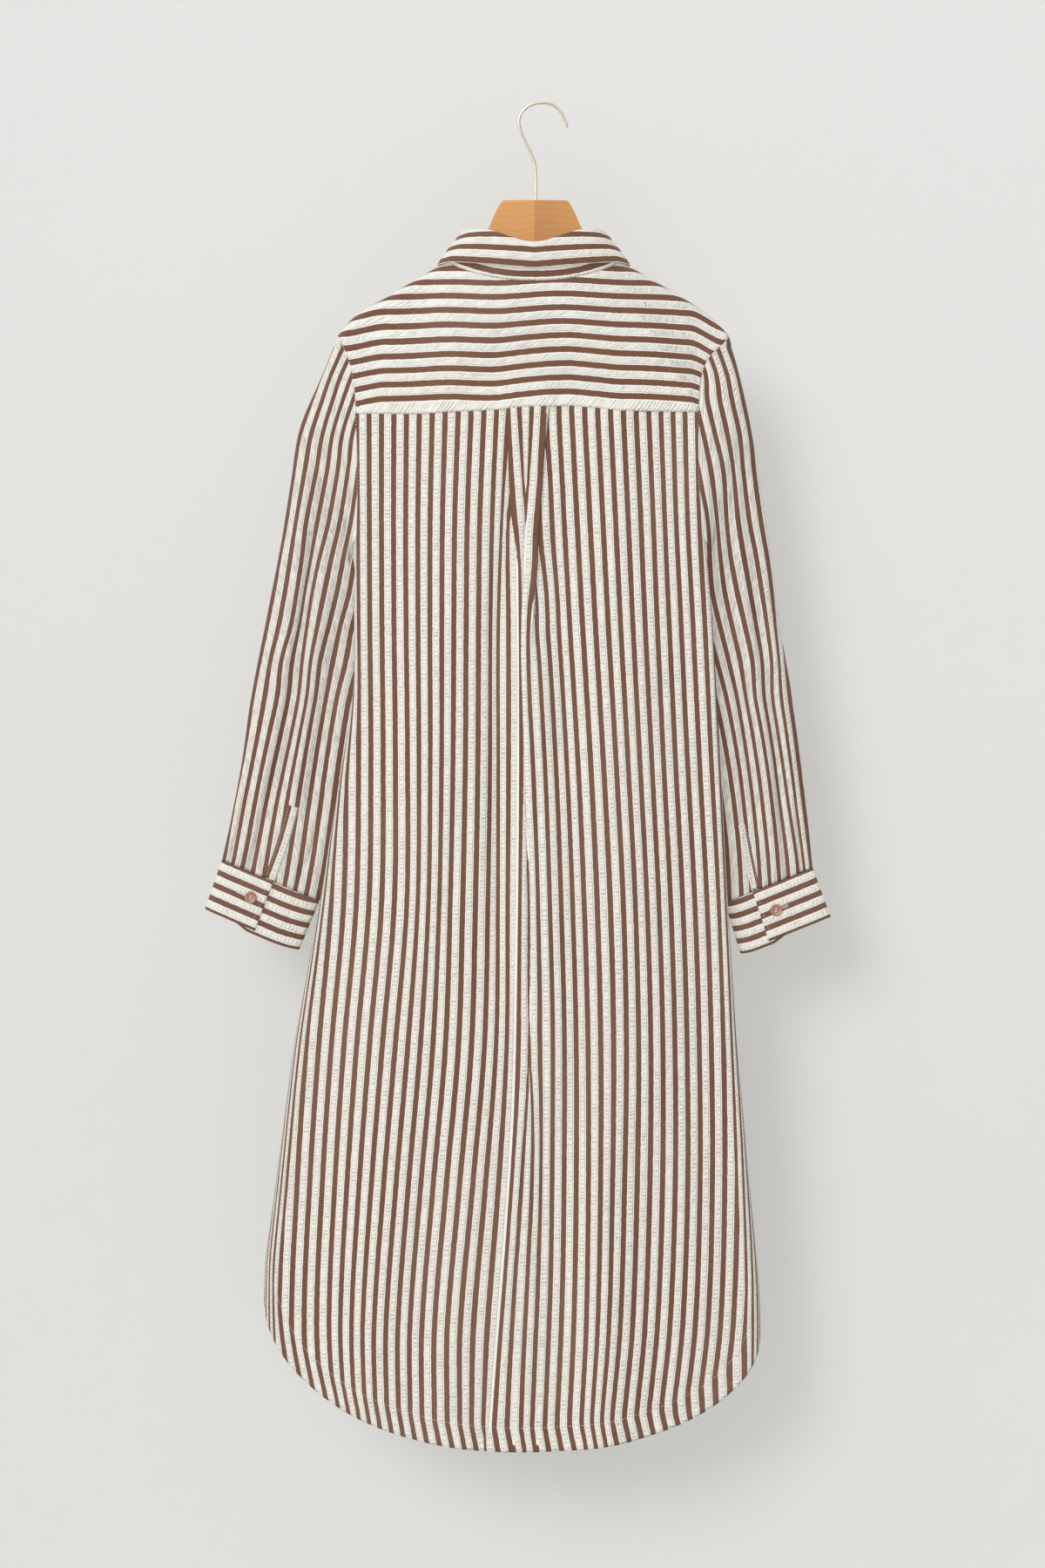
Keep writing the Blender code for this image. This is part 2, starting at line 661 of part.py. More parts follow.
def back_row(n):
    """One row of the back sheet, from the left side round to the right."""
    fraction = row_share(n, BACK_UPPER, UPPER_SHARE)

    def drop_at(x, low_x):
        return mix(seam_drop(x) + SEAM, hem_drop(low_x, HEM_BACK), fraction)

    def side_points(side):
        corner = back_corner(side)
        points = [back_edge_point(side, seam_side_drop(side, SEAM - corner.z, n, BACK_UPPER))]
        for m in range(1, SIDE_STEPS + 1):
            share = 1.0 - m / SIDE_STEPS
            stop = fold_hem_drop(side, share * math.pi / 2, HEM_BACK)
            drop = mix(SEAM - corner.z, stop, fraction)
            points.append(back_side(side, drop, back_wrap(drop) * share))
        return points

    def flat_points(side, count):
        low_start = edge(side, HEM_RIGHT) - side * SIDE_FOLD_HEM
        low_stop = pleat_points(HEM_BACK)[0 if side < 0 else -1][0]
        high_start = edge(side, YOKE_SEAM) - side * SIDE_FOLD
        high_stop = pleat_points(YOKE_SEAM)[0 if side < 0 else -1][0]
        points = []
        for m in range(1, count):
            t = m / count
            drop = drop_at(mix(high_start, high_stop, t), mix(low_start, low_stop, t))
            start = edge(side, drop) - side * side_radius(drop)
            stop = pleat_points(drop)[0 if side < 0 else -1][0]
            x = mix(start, stop, t)
            points.append(Vector((x, back_y(x, drop), -drop)))
        return points

    middle = []
    for m in range(len(pleat_points(HEM_BACK))):
        drop = drop_at(pleat_points(YOKE_SEAM)[m][0], pleat_points(HEM_BACK)[m][0])
        x, lift = pleat_points(drop)[m]
        middle.append(Vector((x, back_y(x, drop) - lift, -drop)))
    left = side_points(-1) + flat_points(-1, BACK_LEFT)
    right = side_points(1) + flat_points(1, BACK_RIGHT)
    return left + middle + right[::-1]


def back_rows():
    return [back_row(n) for n in range(len(BACK_UPPER) + LOWER_ROWS)]


# ---------------------------------------------------------------- fronts and button bands


FRONT_NECK_COLUMNS = 4
BAND_ROWS = 16


def neck_front_point(x):
    """The neck seam on the front at an X near the middle."""
    return neck(180.0 - math.degrees(math.asin(max(-1.0, min(1.0, (x - CENTRE_X) / NECK_HALF)))))


def front_top(side):
    """Upper edge of a front: below the yoke's front seam, then along the neck."""
    points = []
    for n, point in enumerate(yoke_front_seam(side)):
        points.insert(0, point - Vector((0.0, 0.0, FRONT_GAP * (1.0 + 0.4 * (n / YOKE_ROWS) ** 3))))
    first = points[0].x
    inner = first - side * SIDE_FOLD / 2
    points[0] = points[0].lerp(points[1], (inner - first) / (points[1].x - first))
    for t in steps(FRONT_NECK_COLUMNS)[1:]:
        x = mix(points[YOKE_ROWS].x, CENTRE_X + side * (PLACKET_HALF + SEAM), t)
        points.append(neck_front_point(x))
    return points


def front_layer(x, drop):
    """Front cloth near the middle, where the right front lies over the left."""
    side = -1 if x < CENTRE_X else 1
    near = 1.0 - smooth((abs(x - CENTRE_X) - PLACKET_HALF) / 45.0)
    return front_y(x, drop) + side * PLACKET_STEP * near


def front_rows(side):
    top = front_top(side)
    corner = front_corner(side) - Vector((0.0, 0.0, FRONT_GAP))
    low_start = edge(side, HEM_RIGHT) - side * SIDE_FOLD_HEM
    low_stop = CENTRE_X + side * (PLACKET_HALF + SEAM)
    rows = []
    for n in range(len(FRONT_UPPER) + LOWER_ROWS):
        fraction = row_share(n, FRONT_UPPER, UPPER_SHARE_FRONT)
        row = []
        for m in range(SIDE_STEPS):
            share = 1.0 - m / SIDE_STEPS
            start = corner.lerp(top[0], m / SIDE_STEPS)
            if m == 0:
                row.append(front_edge_point(side, seam_side_drop(side, -start.z, n, FRONT_UPPER)))
                continue
            stop = fold_hem_drop(side, share * math.pi / 2, HEM_FRONT)
            drop = mix(-start.z, stop, fraction)
            point = front_side(side, drop, math.pi - (math.pi - front_wrap(drop)) * share)
            point.y += SIDE_GAP * side_gap_share(drop)
            row.append(point)
        for m, high in enumerate(top):
            t = m / (len(top) - 1)
            low_x = mix(low_start, low_stop, t)
            drop = mix(-high.z, hem_drop(low_x, HEM_FRONT), fraction)
            start = front_edge(side, drop) - side * side_radius(drop)
            x = mix(high.x, mix(start, low_stop, t), smooth(fraction / 0.08))
            if m == 0:
                x = start
            y = front_layer(x, drop)
            if m > YOKE_ROWS:
                y += (high.y - front_y(high.x, -high.z)) * (1.0 - smooth(fraction / 0.1))
            row.append(Vector((x, y, -drop)))
        rows.append(row)
    return rows


def band_y(x, drop, layer):
    """Y of a button band, which follows the front and comes in to the neck seam at its top."""
    top = neck_front_point(x)
    share = (drop + top.z) / (HEM_FRONT + top.z)
    bulge = (top.y - front_y(x, -top.z)) * (1.0 - smooth(share / 0.1))
    return front_y(x, drop) + layer * PLACKET_STEP + bulge


def band_rows(layer):
    """A button band: layer 1 for the upper one, -1 for the one below it."""
    rows = []
    for fraction in steps(BAND_ROWS):
        row = []
        for across in (-1.0, 0.0, 1.0):
            x = CENTRE_X + across * PLACKET_HALF
            drop = mix(-neck_front_point(x).z, hem_drop(x, HEM_FRONT), fraction)
            row.append(Vector((x, band_y(x, drop, layer), -drop)))
        rows.append(row)
    return rows


# ---------------------------------------------------------------- collar


def collar_top(turn):
    """Upper edge of the stand, where the fall turns over."""
    angle = math.radians(turn)
    if math.cos(angle) >= 0.0:
        depth = STAND_TOP_BACK
        drop = mix(STAND_TOP[1], STAND_TOP[0], math.cos(angle) ** 7)
    else:
        depth = STAND_TOP_FRONT
        drop = mix(STAND_TOP[1], STAND_TOP[2], math.cos(angle) ** 2)
    return Vector((CENTRE_X + STAND_TOP_HALF * math.sin(angle), -depth * math.cos(angle), -drop))


def collar_base(turn):
    """Lower edge of the stand, just off the neck seam."""
    point = neck(turn)
    along = (neck(turn + 2.0) - neck(turn - 2.0)).normalized()
    up = collar_top(turn) - point
    up = (up - along * up.dot(along)).normalized()
    level = 0.55 if abs(turn) < 90.0 else 1.0
    return point + up * mix(level, 1.1, math.sin(math.radians(turn)) ** 2)


def outward(turn):
    angle = math.radians(turn)
    return Vector((math.sin(angle), -1.6 * math.cos(angle), 0.0)).normalized()


def stand_rows():
    """The stand, whose right end laps over the left one at the front."""
    rows = []
    for up in steps(3):
        row = []
        for n in range(-STAND_STEPS, STAND_STEPS + 1):
            turn = n * COLLAR_STEP
            lap = smooth((abs(turn) - 140.0) / 26.0) * 1.0 * (1.0 if turn > 0 else -1.0)
            base, top = collar_base(turn), collar_top(turn)
            row.append(base.lerp(top, up) + outward(turn) * (lap + 1.3 * math.sin(math.pi * up)))
        rows.append(row)
    return rows


def fall_edge(turn):
    """Lower edge of the turned-down collar, with its two points at the front."""
    angle = math.radians(turn)
    side = 1.0 if turn >= 0.0 else -1.0
    if abs(turn) <= 90.0:
        x = CENTRE_X + FALL_HALF * math.sin(angle)
        drop = mix(FALL_BACK[0], FALL_SIDE, abs(math.sin(angle)) ** 1.3)
        return Vector((x, -FALL_BACK[1] * math.cos(angle), -drop))
    t = (abs(turn) - 90.0) / (FALL_STEPS * COLLAR_STEP - 90.0)
    x = CENTRE_X + side * mix(POINT_HALF, FALL_HALF, math.cos(t * math.pi / 2))
    drop = FALL_SIDE + (FALL_POINT - FALL_SIDE) * t**1.25
    y = 33.0 * math.sin(t * math.pi / 2) + 5.0 * t
    return Vector((x, y, -drop))


FALL_SHAPE = (  # share of the way from the roll to the edge, with its lift and its distance out
    (0.0, 1.8, 0.0),
    (0.0, 2.7, 1.8),
    (0.04, 1.2, 3.2),
    (0.25, 0.0, 3.6),
    (0.5, 0.0, 3.2),
    (0.75, 0.0, 2.2),
    (1.0, 0.0, 0.6),
)


def fall_rows():
    rows = []
    for down, up, out in FALL_SHAPE:
        row = []
        for n in range(-FALL_STEPS, FALL_STEPS + 1):
            turn = n * COLLAR_STEP
            slope = collar_top(turn + 2.0) - collar_top(turn - 2.0)
            flat = math.hypot(slope.x, slope.y)
            steep = math.hypot(flat, slope.z) / max(flat, 0.01)
            point = collar_top(turn).lerp(fall_edge(turn), down)
            row.append(point + outward(turn) * out + Vector((0.0, 0.0, up * min(1.6, steep))))
        rows.append(row)
    return rows


# ---------------------------------------------------------------- sleeves and cuffs


SLEEVE_ROWS = 18


def flat_ring(row, turn):
    """A flattened ring from the outer edge (0 degrees) over the back to the inner edge."""
    angle = math.radians(turn)
    outer = Vector((row["outer_x"], 0.0, -row["outer_drop"]))
    inner = Vector((row["inner_x"], 0.0, -row["inner_drop"]))
    point = (outer + inner) / 2 + (outer - inner) / 2 * power(math.cos(angle), 0.9)
    point.y = row["middle_y"] - row["depth"] * power(math.sin(angle), 0.75)
    return point


POUCH = (4.5, 0.32)  # how far the sleeve stands out below the underarm, and along how much of it
SLEEVE_HEAD = 0.165  # share of its length over which the sleeve turns from the armhole to its flat form


def sleeve_ring(side, along):
    table = LEFT_SLEEVE if side < 0 else RIGHT_SLEEVE
    return {name: read(table, along, name) for name in Ring._fields[1:]}


def beside(side, point, gap):
    """Keeps a point of the sleeve a gap outside the body's side fold and in front of the front."""
    drop = -point.z
    if drop < YOKE_SEAM:
        return
    radius = side_radius(drop)
    middle_x = edge(side, drop) - side * radius
    middle_y = back_y(middle_x, drop) + radius
    away = Vector((point.x - middle_x, point.y - middle_y, 0.0))
    least = (radius + gap) * smooth((drop - UNDERARM + 35.0) / 30.0)
    if away.x * side < 0.0:
        point.y = max(point.y, front_y(point.x, drop) + gap)
    elif away.length < least:
        point.x = middle_x + away.x * least / away.length
        point.y = middle_y + away.y * least / away.length


def armhole_outside(side, turn):
    """The armhole seam moved outwards, square to the seam, to leave room for both walls."""
    along = (armhole(side, (turn + 2.0) % 360.0) - armhole(side, (turn - 2.0) % 360.0)).normalized()
    out = Vector((side, 0.0, 0.0))
    out = (out - along * out.dot(along)).normalized()
    return armhole(side, turn) + out * (ARMHOLE_GAP[0] if turn <= 180.0 else ARMHOLE_GAP[1])


def sleeve_point(side, along, turn):
    turn = turn % 360.0
    point = flat_ring(sleeve_ring(side, along), turn)
    point = armhole_outside(side, turn).lerp(point, smooth(along / SLEEVE_HEAD))
    low_side = smooth((-math.cos(math.radians(turn)) - 0.2) / 0.7)
    if along < POUCH[1]:
        point.x += side * POUCH[0] * low_side * math.sin(math.pi * along / POUCH[1])
    if turn < 180.0:
        across = math.cos(math.radians(turn))
        for crease in LEFT_CREASES if side < 0 else RIGHT_CREASES:
            t = (along - crease.start) / (crease.stop - crease.start)
            if 0.0 < t < 1.0:
                away = (across - mix(crease.across_start, crease.across_stop, t)) / crease.width
                point.y -= crease.height * math.exp(-away * away) * smooth(min(t, 1.0 - t) * 5.0)
    if along > 0.0:
        beside(side, point, mix(0.9, 2.5, smooth(along / 0.05)))
    return point


def sleeve_turns(side):
    """Turns of the sleeve's columns, from one edge of the slit right round to the other."""
    lap = CUFFS[side].lap_angle
    upper = [corner_turn(back_corner(side))] + list(SHOULDER_TURNS_BACK[::-1])
    front = [360.0 - turn for turn in SHOULDER_TURNS_FRONT[::-1]]
    front += [360.0 - corner_turn(front_corner(side)), 307.0, 291.0, 275.0, 259.0, 243.0, 228.0, 212.0, 196.0]
    lower = [turn for turn in (180.0, 166.0, 152.0, 138.0, 124.0, 108.0) if turn > lap + 8.0]
    near = [] if lap < 100.0 else [90.0]
    down = [lap] + near + upper
    return down + [turn - 360.0 for turn in front] + [turn - 360.0 for turn in lower + [lap]]


def sleeve_alongs():
    """Positions of the rows, closer together towards the cuff."""
    return [mix(t, math.sin(t * math.pi / 2), 0.2) for t in steps(SLEEVE_ROWS)]


def sleeve_rows(side):
    lap = CUFFS[side].lap_angle
    turns = sleeve_turns(side)
    rows = []
    for along in sleeve_alongs():
        opening = SLIT_OPEN * smooth((along - SLIT_START + 0.03) / 0.06)
        row = [sleeve_point(side, along, turn) for turn in turns]
        if along > SLIT_START:
            apart = (sleeve_point(side, along, lap + 4.0) - row[0]).normalized()
            row[0] -= apart * opening
            row[-1] += apart * opening
        rows.append(row)
    return rows


def binding_rows(side):
    """Narrow strip that lies on the outer side of the slit."""
    lap = CUFFS[side].lap_angle
    rows = []
    for t in steps(6):
        along = mix(SLIT_START - 0.02, 0.985, t)
        row = []
        for out in (0.16, 0.55, 1.0):
            ring = sleeve_ring(side, along)
            span = math.hypot(ring["outer_x"] - ring["inner_x"], ring["outer_drop"] - ring["inner_drop"])
            turn = lap - math.degrees(2.0 * BINDING_WIDTH * out / span)
            point = sleeve_point(side, along, turn)
            sideways = sleeve_point(side, along, turn + 2.0) - sleeve_point(side, along, turn - 2.0)
            lengthwise = sleeve_point(side, along + 0.01, turn) - sleeve_point(side, along - 0.01, turn)
            normal = sideways.cross(lengthwise).normalized()
            if normal.y > 0.0:
                normal.negate()
            row.append(point + normal * (CLOTH + SEAM + 0.1))
        rows.append(row)
    return rows


def cuff_point(side, down, turn, off=0.0):
    """A point of the cuff: down runs from its seam to its edge, off is out of its middle layer."""
    cuff = CUFFS[side]
    top = sleeve_ring(side, 1.0)
    row = {"middle_y": CUFF_MIDDLE, "depth": CUFF_DEPTH}
    for name in ("outer_x", "outer_drop", "inner_x", "inner_drop"):
        row[name] = mix(top[name], getattr(cuff, name), down)
    ahead = flat_ring(row, turn + 2.0) - flat_ring(row, turn - 2.0)
    lengthwise = Vector((cuff.outer_x - top["outer_x"], 0.0, top["outer_drop"] - cuff.outer_drop))
    normal = ahead.cross(lengthwise).normalized() * side
    return flat_ring(row, turn) + normal * off


def cuff_rows(side):
    """The cuff starts on its upper layer, runs round the wrist and ends below its start."""
    lap = CUFFS[side].lap_angle
    rows = []
    for down in (0.007, 0.34, 0.67, 1.0):
        row = []
        for t in steps(26):
            turn = mix(lap, lap - 360.0 - CUFF_LAP, t)
            off = CUFF_STEP * smooth((turn - lap + CUFF_LAP + 20.0) / 18.0)
            off -= CUFF_STEP * smooth((lap - 340.0 - turn) / 18.0)
            row.append(cuff_point(side, down, turn, off))
        rows.append(row)
    return rows


# ---------------------------------------------------------------- building objects


def cloth_material(name, colour, roughness, metallic=0.0):
    material = bpy.data.materials.new(name)
    material.use_nodes = True
    shader = material.node_tree.nodes["Principled BSDF"]
    shader.inputs["Base Color"].default_value = colour
    shader.inputs["Roughness"].default_value = roughness
    shader.inputs["Metallic"].default_value = metallic
    material.diffuse_color = colour
    return material


def add_object(name, mesh, material, parent):
    thing = bpy.data.objects.new(name, mesh)
    bpy.context.scene.collection.objects.link(thing)
    mesh.materials.append(material)
    thing.parent = parent
    return thing


def add_sheet(name, rows, wall, material, parent, joined=0):
    """A grid of points as a wall; the first joined rows close into rings."""
    shape = bmesh.new()
    grid = []
    for i, row in enumerate(rows):
        line = [shape.verts.new(point * MM) for point in row[:-1]]
        line.append(line[0] if i < joined else shape.verts.new(row[-1] * MM))
        grid.append(line)
    for upper, lower in zip(grid, grid[1:]):
        for n in range(len(upper) - 1):
            corners = [upper[n], upper[n + 1], lower[n + 1], lower[n]]
            shape.faces.new(corners)
    mesh = bpy.data.meshes.new(name)
    shape.to_mesh(mesh)
    shape.free()
    mesh.shade_smooth()
    sheet = add_object(name, mesh, material, parent)
    solid = sheet.modifiers.new("wall", "SOLIDIFY")
    solid.thickness = wall * MM
    solid.offset = 0.0
    solid.use_quality_normals = True
    solid.use_rim = True
    return sheet


def skin(shape, rings):
    """Closed skin over a row of rings, with a flat end on the first and the last."""
    loops = [[shape.verts.new(point * MM) for point in ring] for ring in rings]
    for first, second in zip(loops, loops[1:]):
        for n in range(len(first)):
            m = (n + 1) % len(first)
            shape.faces.new((first[n], first[m], second[m], second[n]))
    shape.faces.new(loops[0])
    shape.faces.new(loops[-1][::-1])
    bmesh.ops.recalc_face_normals(shape, faces=shape.faces)


def finish_solid(name, shape, sharp, material, parent):
    mesh = bpy.data.meshes.new(name)
    shape.to_mesh(mesh)
    shape.free()
    mesh.shade_smooth()
    mesh.set_sharp_from_angle(angle=math.radians(sharp))
    return add_object(name, mesh, material, parent)


BUTTON_PROFILE = ((0.62, 0.62), (0.76, 1.0), (0.94, 1.0), (1.0, 0.6), (0.9, 0.0))  # radius, height
BUTTON_SIDES = 12


def add_button(name, radius, place, facing, material, parent):
    """A small turned button with a sunk middle and a raised rim."""
    rings = []
    for share, height in BUTTON_PROFILE:
        rings.append([])
        for n in range(BUTTON_SIDES):
            angle = 2.0 * math.pi * n / BUTTON_SIDES
            flat = Vector((math.cos(angle), math.sin(angle), 0.0)) * share * radius
            rings[-1].append(flat + Vector((0.0, 0.0, height * BUTTON_THICK)))
    shape = bmesh.new()
    skin(shape, rings)
    button = finish_solid(name, shape, 40.0, material, parent)
    button.location = place * MM
    button.rotation_euler = facing.to_track_quat("Z", "Y").to_euler()
    return button


def add_cuff_button(side, material, parent):
    cuff = CUFFS[side]
    top = sleeve_ring(side, 1.0)
    across = 1.0 - 2.0 * cuff.button_across
    turn = math.degrees(math.acos(power(across, 1.0 / 0.9)))
    place = cuff_point(side, cuff.button_down, turn, CUFF_STEP)
    normal = cuff_point(side, cuff.button_down, turn, CUFF_STEP + 1.0) - place
    name = "cuff_button_left" if side < 0 else "cuff_button_right"
    place += normal * (BAND / 2 + SEAM)
    return add_button(name, CUFF_BUTTON_RADIUS, place, normal, material, parent)


def band_place(drop, lift):
    """Place and direction of a button on the upper button band."""
    slope = (band_y(CENTRE_X, drop + 6.0, 1) - band_y(CENTRE_X, drop - 6.0, 1)) / 12.0
    normal = Vector((0.0, 1.0, slope)).normalized()
    return Vector((CENTRE_X, band_y(CENTRE_X, drop, 1), -drop)) + normal * lift, normal


def add_front_buttons(material, parent):
    lift = BAND / 2 + SEAM
    first, last = NECK_FRONT[0] + 66.0, HEM_FRONT - 190.0
    for n in range(BUTTON_COUNT):
        place, normal = band_place(mix(first, last, n / (BUTTON_COUNT - 1)), lift)
        add_button(f"front_button_{n + 1}", BUTTON_RADIUS, place, normal, material, parent)
    base, top = collar_base(180.0), collar_top(180.0)
    along = (top - base).normalized()
    normal = Vector((0.0, along.z, -along.y))
    place = base.lerp(top, 0.5) + normal * (2.1 + lift)
    add_button("stand_button", BUTTON_RADIUS, place, normal, material, parent)


def hanger_section(across, side):
    """X, top, bottom and edge rounding of the wood at a distance from its centre line."""
    x = HANGER_X + side * across
    if across <= HANGER[-1].across:
        top, bottom, rounding = (read(HANGER, across, name) for name in ("top", "bottom", "round"))
        return x, top, bottom, rounding
    t = (across - HANGER[-1].across) / (HANGER_HALF - HANGER[-1].across)
    bottom = mix(HANGER[-1].bottom, ridge(HANGER_X + side * HANGER_HALF) + HANGER_TIP[0], t)
    rest = mix(HANGER_REST[0], HANGER_REST[1], smooth((across - 155.0) / 20.0))
    return x, ridge(x) + rest, bottom, HANGER_THICK * 0.96


def hanger_ring(x, top, bottom, rounding, half):
    """A rounded upright section of the wood."""
    rounding = min(rounding, half * 0.97)
    points = []
    corners = ((1, top, 0.0), (1, bottom, -90.0), (-1, bottom, -180.0), (-1, top, -270.0))
    for side, drop, start in corners:
        up = 1.0 if drop == top else -1.0
        centre = Vector((x, side * (half - rounding), -drop - up * rounding))
        for n in range(4):
            angle = math.radians(start + 90.0 - 30.0 * n)
            points.append(centre + Vector((0.0, math.cos(angle), math.sin(angle))) * rounding)
    return points


def hanger_stations(side):
    """Distances from the centre line: the block's outline, then below the yoke's own rows."""
    tip = edge(side, SHOULDER_TIP)
    seam = neck(side * 90.0).x
    arm = [abs(mix(seam, tip, n / YOKE_ROWS) - HANGER_X) for n in range(1, YOKE_ROWS - 1)]
    return [row.across for row in HANGER[1:]] + [abs(seam - HANGER_X) + 3.0] + arm + [HANGER_HALF - 8.0]


def add_hanger(material, parent):
    """The wood, lofted through upright sections from one rounded tip to the other."""
    halves = []
    for side in (-1, 1):
        half = []
        for across in hanger_stations(side):
            x, top, bottom, rounding = hanger_section(across, side)
            if abs(across - abs(neck(side * 90.0).x - HANGER_X) - 3.0) < 0.01:
                top += 3.0
            half.append(hanger_ring(x, top, bottom, rounding, HANGER_THICK))
        for across, share in ((HANGER_HALF - 3.0, 0.75), (HANGER_HALF, HANGER_TIP[1])):
            x, top, bottom, rounding = hanger_section(across, side)
            middle, size = (top + bottom) / 2, (bottom - top) / 2 * share
            half.append(hanger_ring(x, middle - size, middle + size, rounding, HANGER_THICK * share))
        halves.append(half)
    centre = hanger_ring(*hanger_section(0.0, 1), HANGER_THICK)
    rings = halves[0][::-1] + [centre] + halves[1]
    shape = bmesh.new()
    skin(shape, rings)
    return finish_solid("hanger_wood", shape, 45.0, material, parent)


def add_hook(material, parent):
    """The wire, a tube of round sections with a blunt rounded tip."""
    runs = [0.0, 1.0, 2.0] + [2.5 + n / 2 for n in range(25)] + [15.0]
    places = [Vector((read(HOOK, run, "x"), 0.0, -read(HOOK, run, "drop"))) for run in runs]
    radii = [WIRE] * len(places)
    end = (places[-1] - places[-2]).normalized()
    places += [places[-1] + end * 0.9, places[-1] + end * 1.4]
    radii += [WIRE * 0.8, WIRE * 0.4]
    rings = []
    for n, (place, radius) in enumerate(zip(places, radii)):
        before, after = places[max(0, n - 1)], places[min(len(places) - 1, n + 1)]
        along = (after - before).normalized()
        across = Vector((0.0, 1.0, 0.0)).cross(along)
        rings.append([])
        for m in range(WIRE_SIDES):
            angle = 2.0 * math.pi * m / WIRE_SIDES
            spoke = across * math.cos(angle) + Vector((0.0, 1.0, 0.0)) * math.sin(angle)
            rings[-1].append(place + spoke * radius)
    shape = bmesh.new()
    skin(shape, rings)
    return finish_solid("hanger_hook", shape, 60.0, material, parent)


def clear_scene():
    for thing in list(bpy.data.objects):
        bpy.data.objects.remove(thing, do_unlink=True)


def main():
    clear_scene()
    root = bpy.data.objects.new("dress_root", None)
    bpy.context.scene.collection.objects.link(root)
    lengthwise = cloth_material("lengthwise_stripe", (0.62, 0.55, 0.50, 1.0), 0.85)
    crosswise = cloth_material("crosswise_stripe", (0.66, 0.58, 0.52, 1.0), 0.85)
    button = cloth_material("brown_button", (0.33, 0.17, 0.12, 1.0), 0.35)
    wood = cloth_material("hanger_beech", (0.52, 0.27, 0.11, 1.0), 0.45)
    wire = cloth_material("hanger_wire", (0.72, 0.70, 0.67, 1.0), 0.28, 1.0)

    add_sheet("yoke", yoke_rows(), CLOTH, crosswise, root)
    add_sheet("back_panel", back_rows(), CLOTH, lengthwise, root)
    for side, name in ((-1, "left"), (1, "right")):
        add_sheet(f"front_{name}", front_rows(side), CLOTH, lengthwise, root)
        add_sheet(f"placket_{name}", band_rows(side), BAND, lengthwise, root)
        add_sheet(
            f"sleeve_{name}",
            sleeve_rows(side),
            CLOTH,
            lengthwise,
            root,
            joined=sum(1 for along in sleeve_alongs() if along <= SLIT_START),
        )
        add_sheet(f"sleeve_placket_{name}", binding_rows(side), CLOTH, lengthwise, root)
        add_sheet(f"cuff_{name}", cuff_rows(side), BAND, crosswise, root)
        add_cuff_button(side, button, root)
    add_sheet("collar_stand", stand_rows(), BAND, crosswise, root)
    add_sheet("collar_fall", fall_rows(), BAND, crosswise, root)
    add_front_buttons(button, root)
    add_hanger(wood, root)
    add_hook(wire, root)


main()
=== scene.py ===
# %% [markdown]
# # A striped shirt dress on a wooden hanger
#
# The dress hangs with its back to the camera. Sizes are worked in millimetres, "drop" is the
# distance below the underside of the hook, and a point is (across, depth, height). The back of
# the dress faces -Y. Each cell builds one group of pieces and prints what it made.

import math
from collections import namedtuple

import bmesh
import bpy
import numpy as np
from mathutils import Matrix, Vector


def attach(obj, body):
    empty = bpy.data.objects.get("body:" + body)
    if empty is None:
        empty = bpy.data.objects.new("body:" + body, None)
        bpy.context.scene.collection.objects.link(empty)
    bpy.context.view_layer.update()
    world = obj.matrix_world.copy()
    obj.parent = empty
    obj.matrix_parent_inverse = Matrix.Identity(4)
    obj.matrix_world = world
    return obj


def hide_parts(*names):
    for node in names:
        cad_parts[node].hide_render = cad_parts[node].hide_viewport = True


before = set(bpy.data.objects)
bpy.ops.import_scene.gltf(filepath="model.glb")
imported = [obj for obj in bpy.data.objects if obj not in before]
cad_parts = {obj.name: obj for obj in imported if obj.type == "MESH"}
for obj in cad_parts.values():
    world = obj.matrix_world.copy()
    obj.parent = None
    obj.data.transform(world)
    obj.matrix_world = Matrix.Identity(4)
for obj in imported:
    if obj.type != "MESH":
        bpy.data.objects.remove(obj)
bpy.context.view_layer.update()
MM = 0.001
SIDES = ((-1, "left"), (1, "right"))  # as seen from behind; the sign is that of X

# %% [markdown]
# ## Camera
#
# A longer lens from about three metres keeps the verticals upright. The sensor's 36 mm lie on
# the long side of an upright picture, so the lens follows from the height that it takes in. Every
# new object has to be linked to the scene before it shows, which one helper does for all of them.

# %% Camera
SENSOR = 36.0
CAMERA_DISTANCE = 3.2
PICTURE_HEIGHT = 1.584
MIDDLE_X, MIDDLE_Y, MIDDLE_Z = -0.0202, -0.012, -0.6893  # the point in the middle of the picture


def new_object(name, data):
    thing = bpy.data.objects.new(name, data)
    bpy.context.scene.collection.objects.link(thing)
    return thing


camera = bpy.data.cameras.new("camera")
camera.lens = SENSOR * CAMERA_DISTANCE / PICTURE_HEIGHT
camera_rig = new_object("camera", camera)
camera_rig.location = (MIDDLE_X, MIDDLE_Y - CAMERA_DISTANCE, MIDDLE_Z)
camera_rig.rotation_euler = (math.radians(90.0), 0.0, 0.0)
bpy.context.scene.camera = camera_rig
print("lens", round(camera.lens, 1), "mm")

# %% [markdown]
# ## Curves through named sizes
#
# A table holds a few rows of named sizes. `curve` reads one column at any key on a smooth line
# through the rows, and works on whole arrays, so a sheet of ten thousand points takes one call.

# %% Curves


def smooth(t):
    """0 to 1 with level ends."""
    t = np.clip(t, 0.0, 1.0)
    return t * t * (3.0 - 2.0 * t)


def mix(a, b, t):
    return a + (b - a) * t


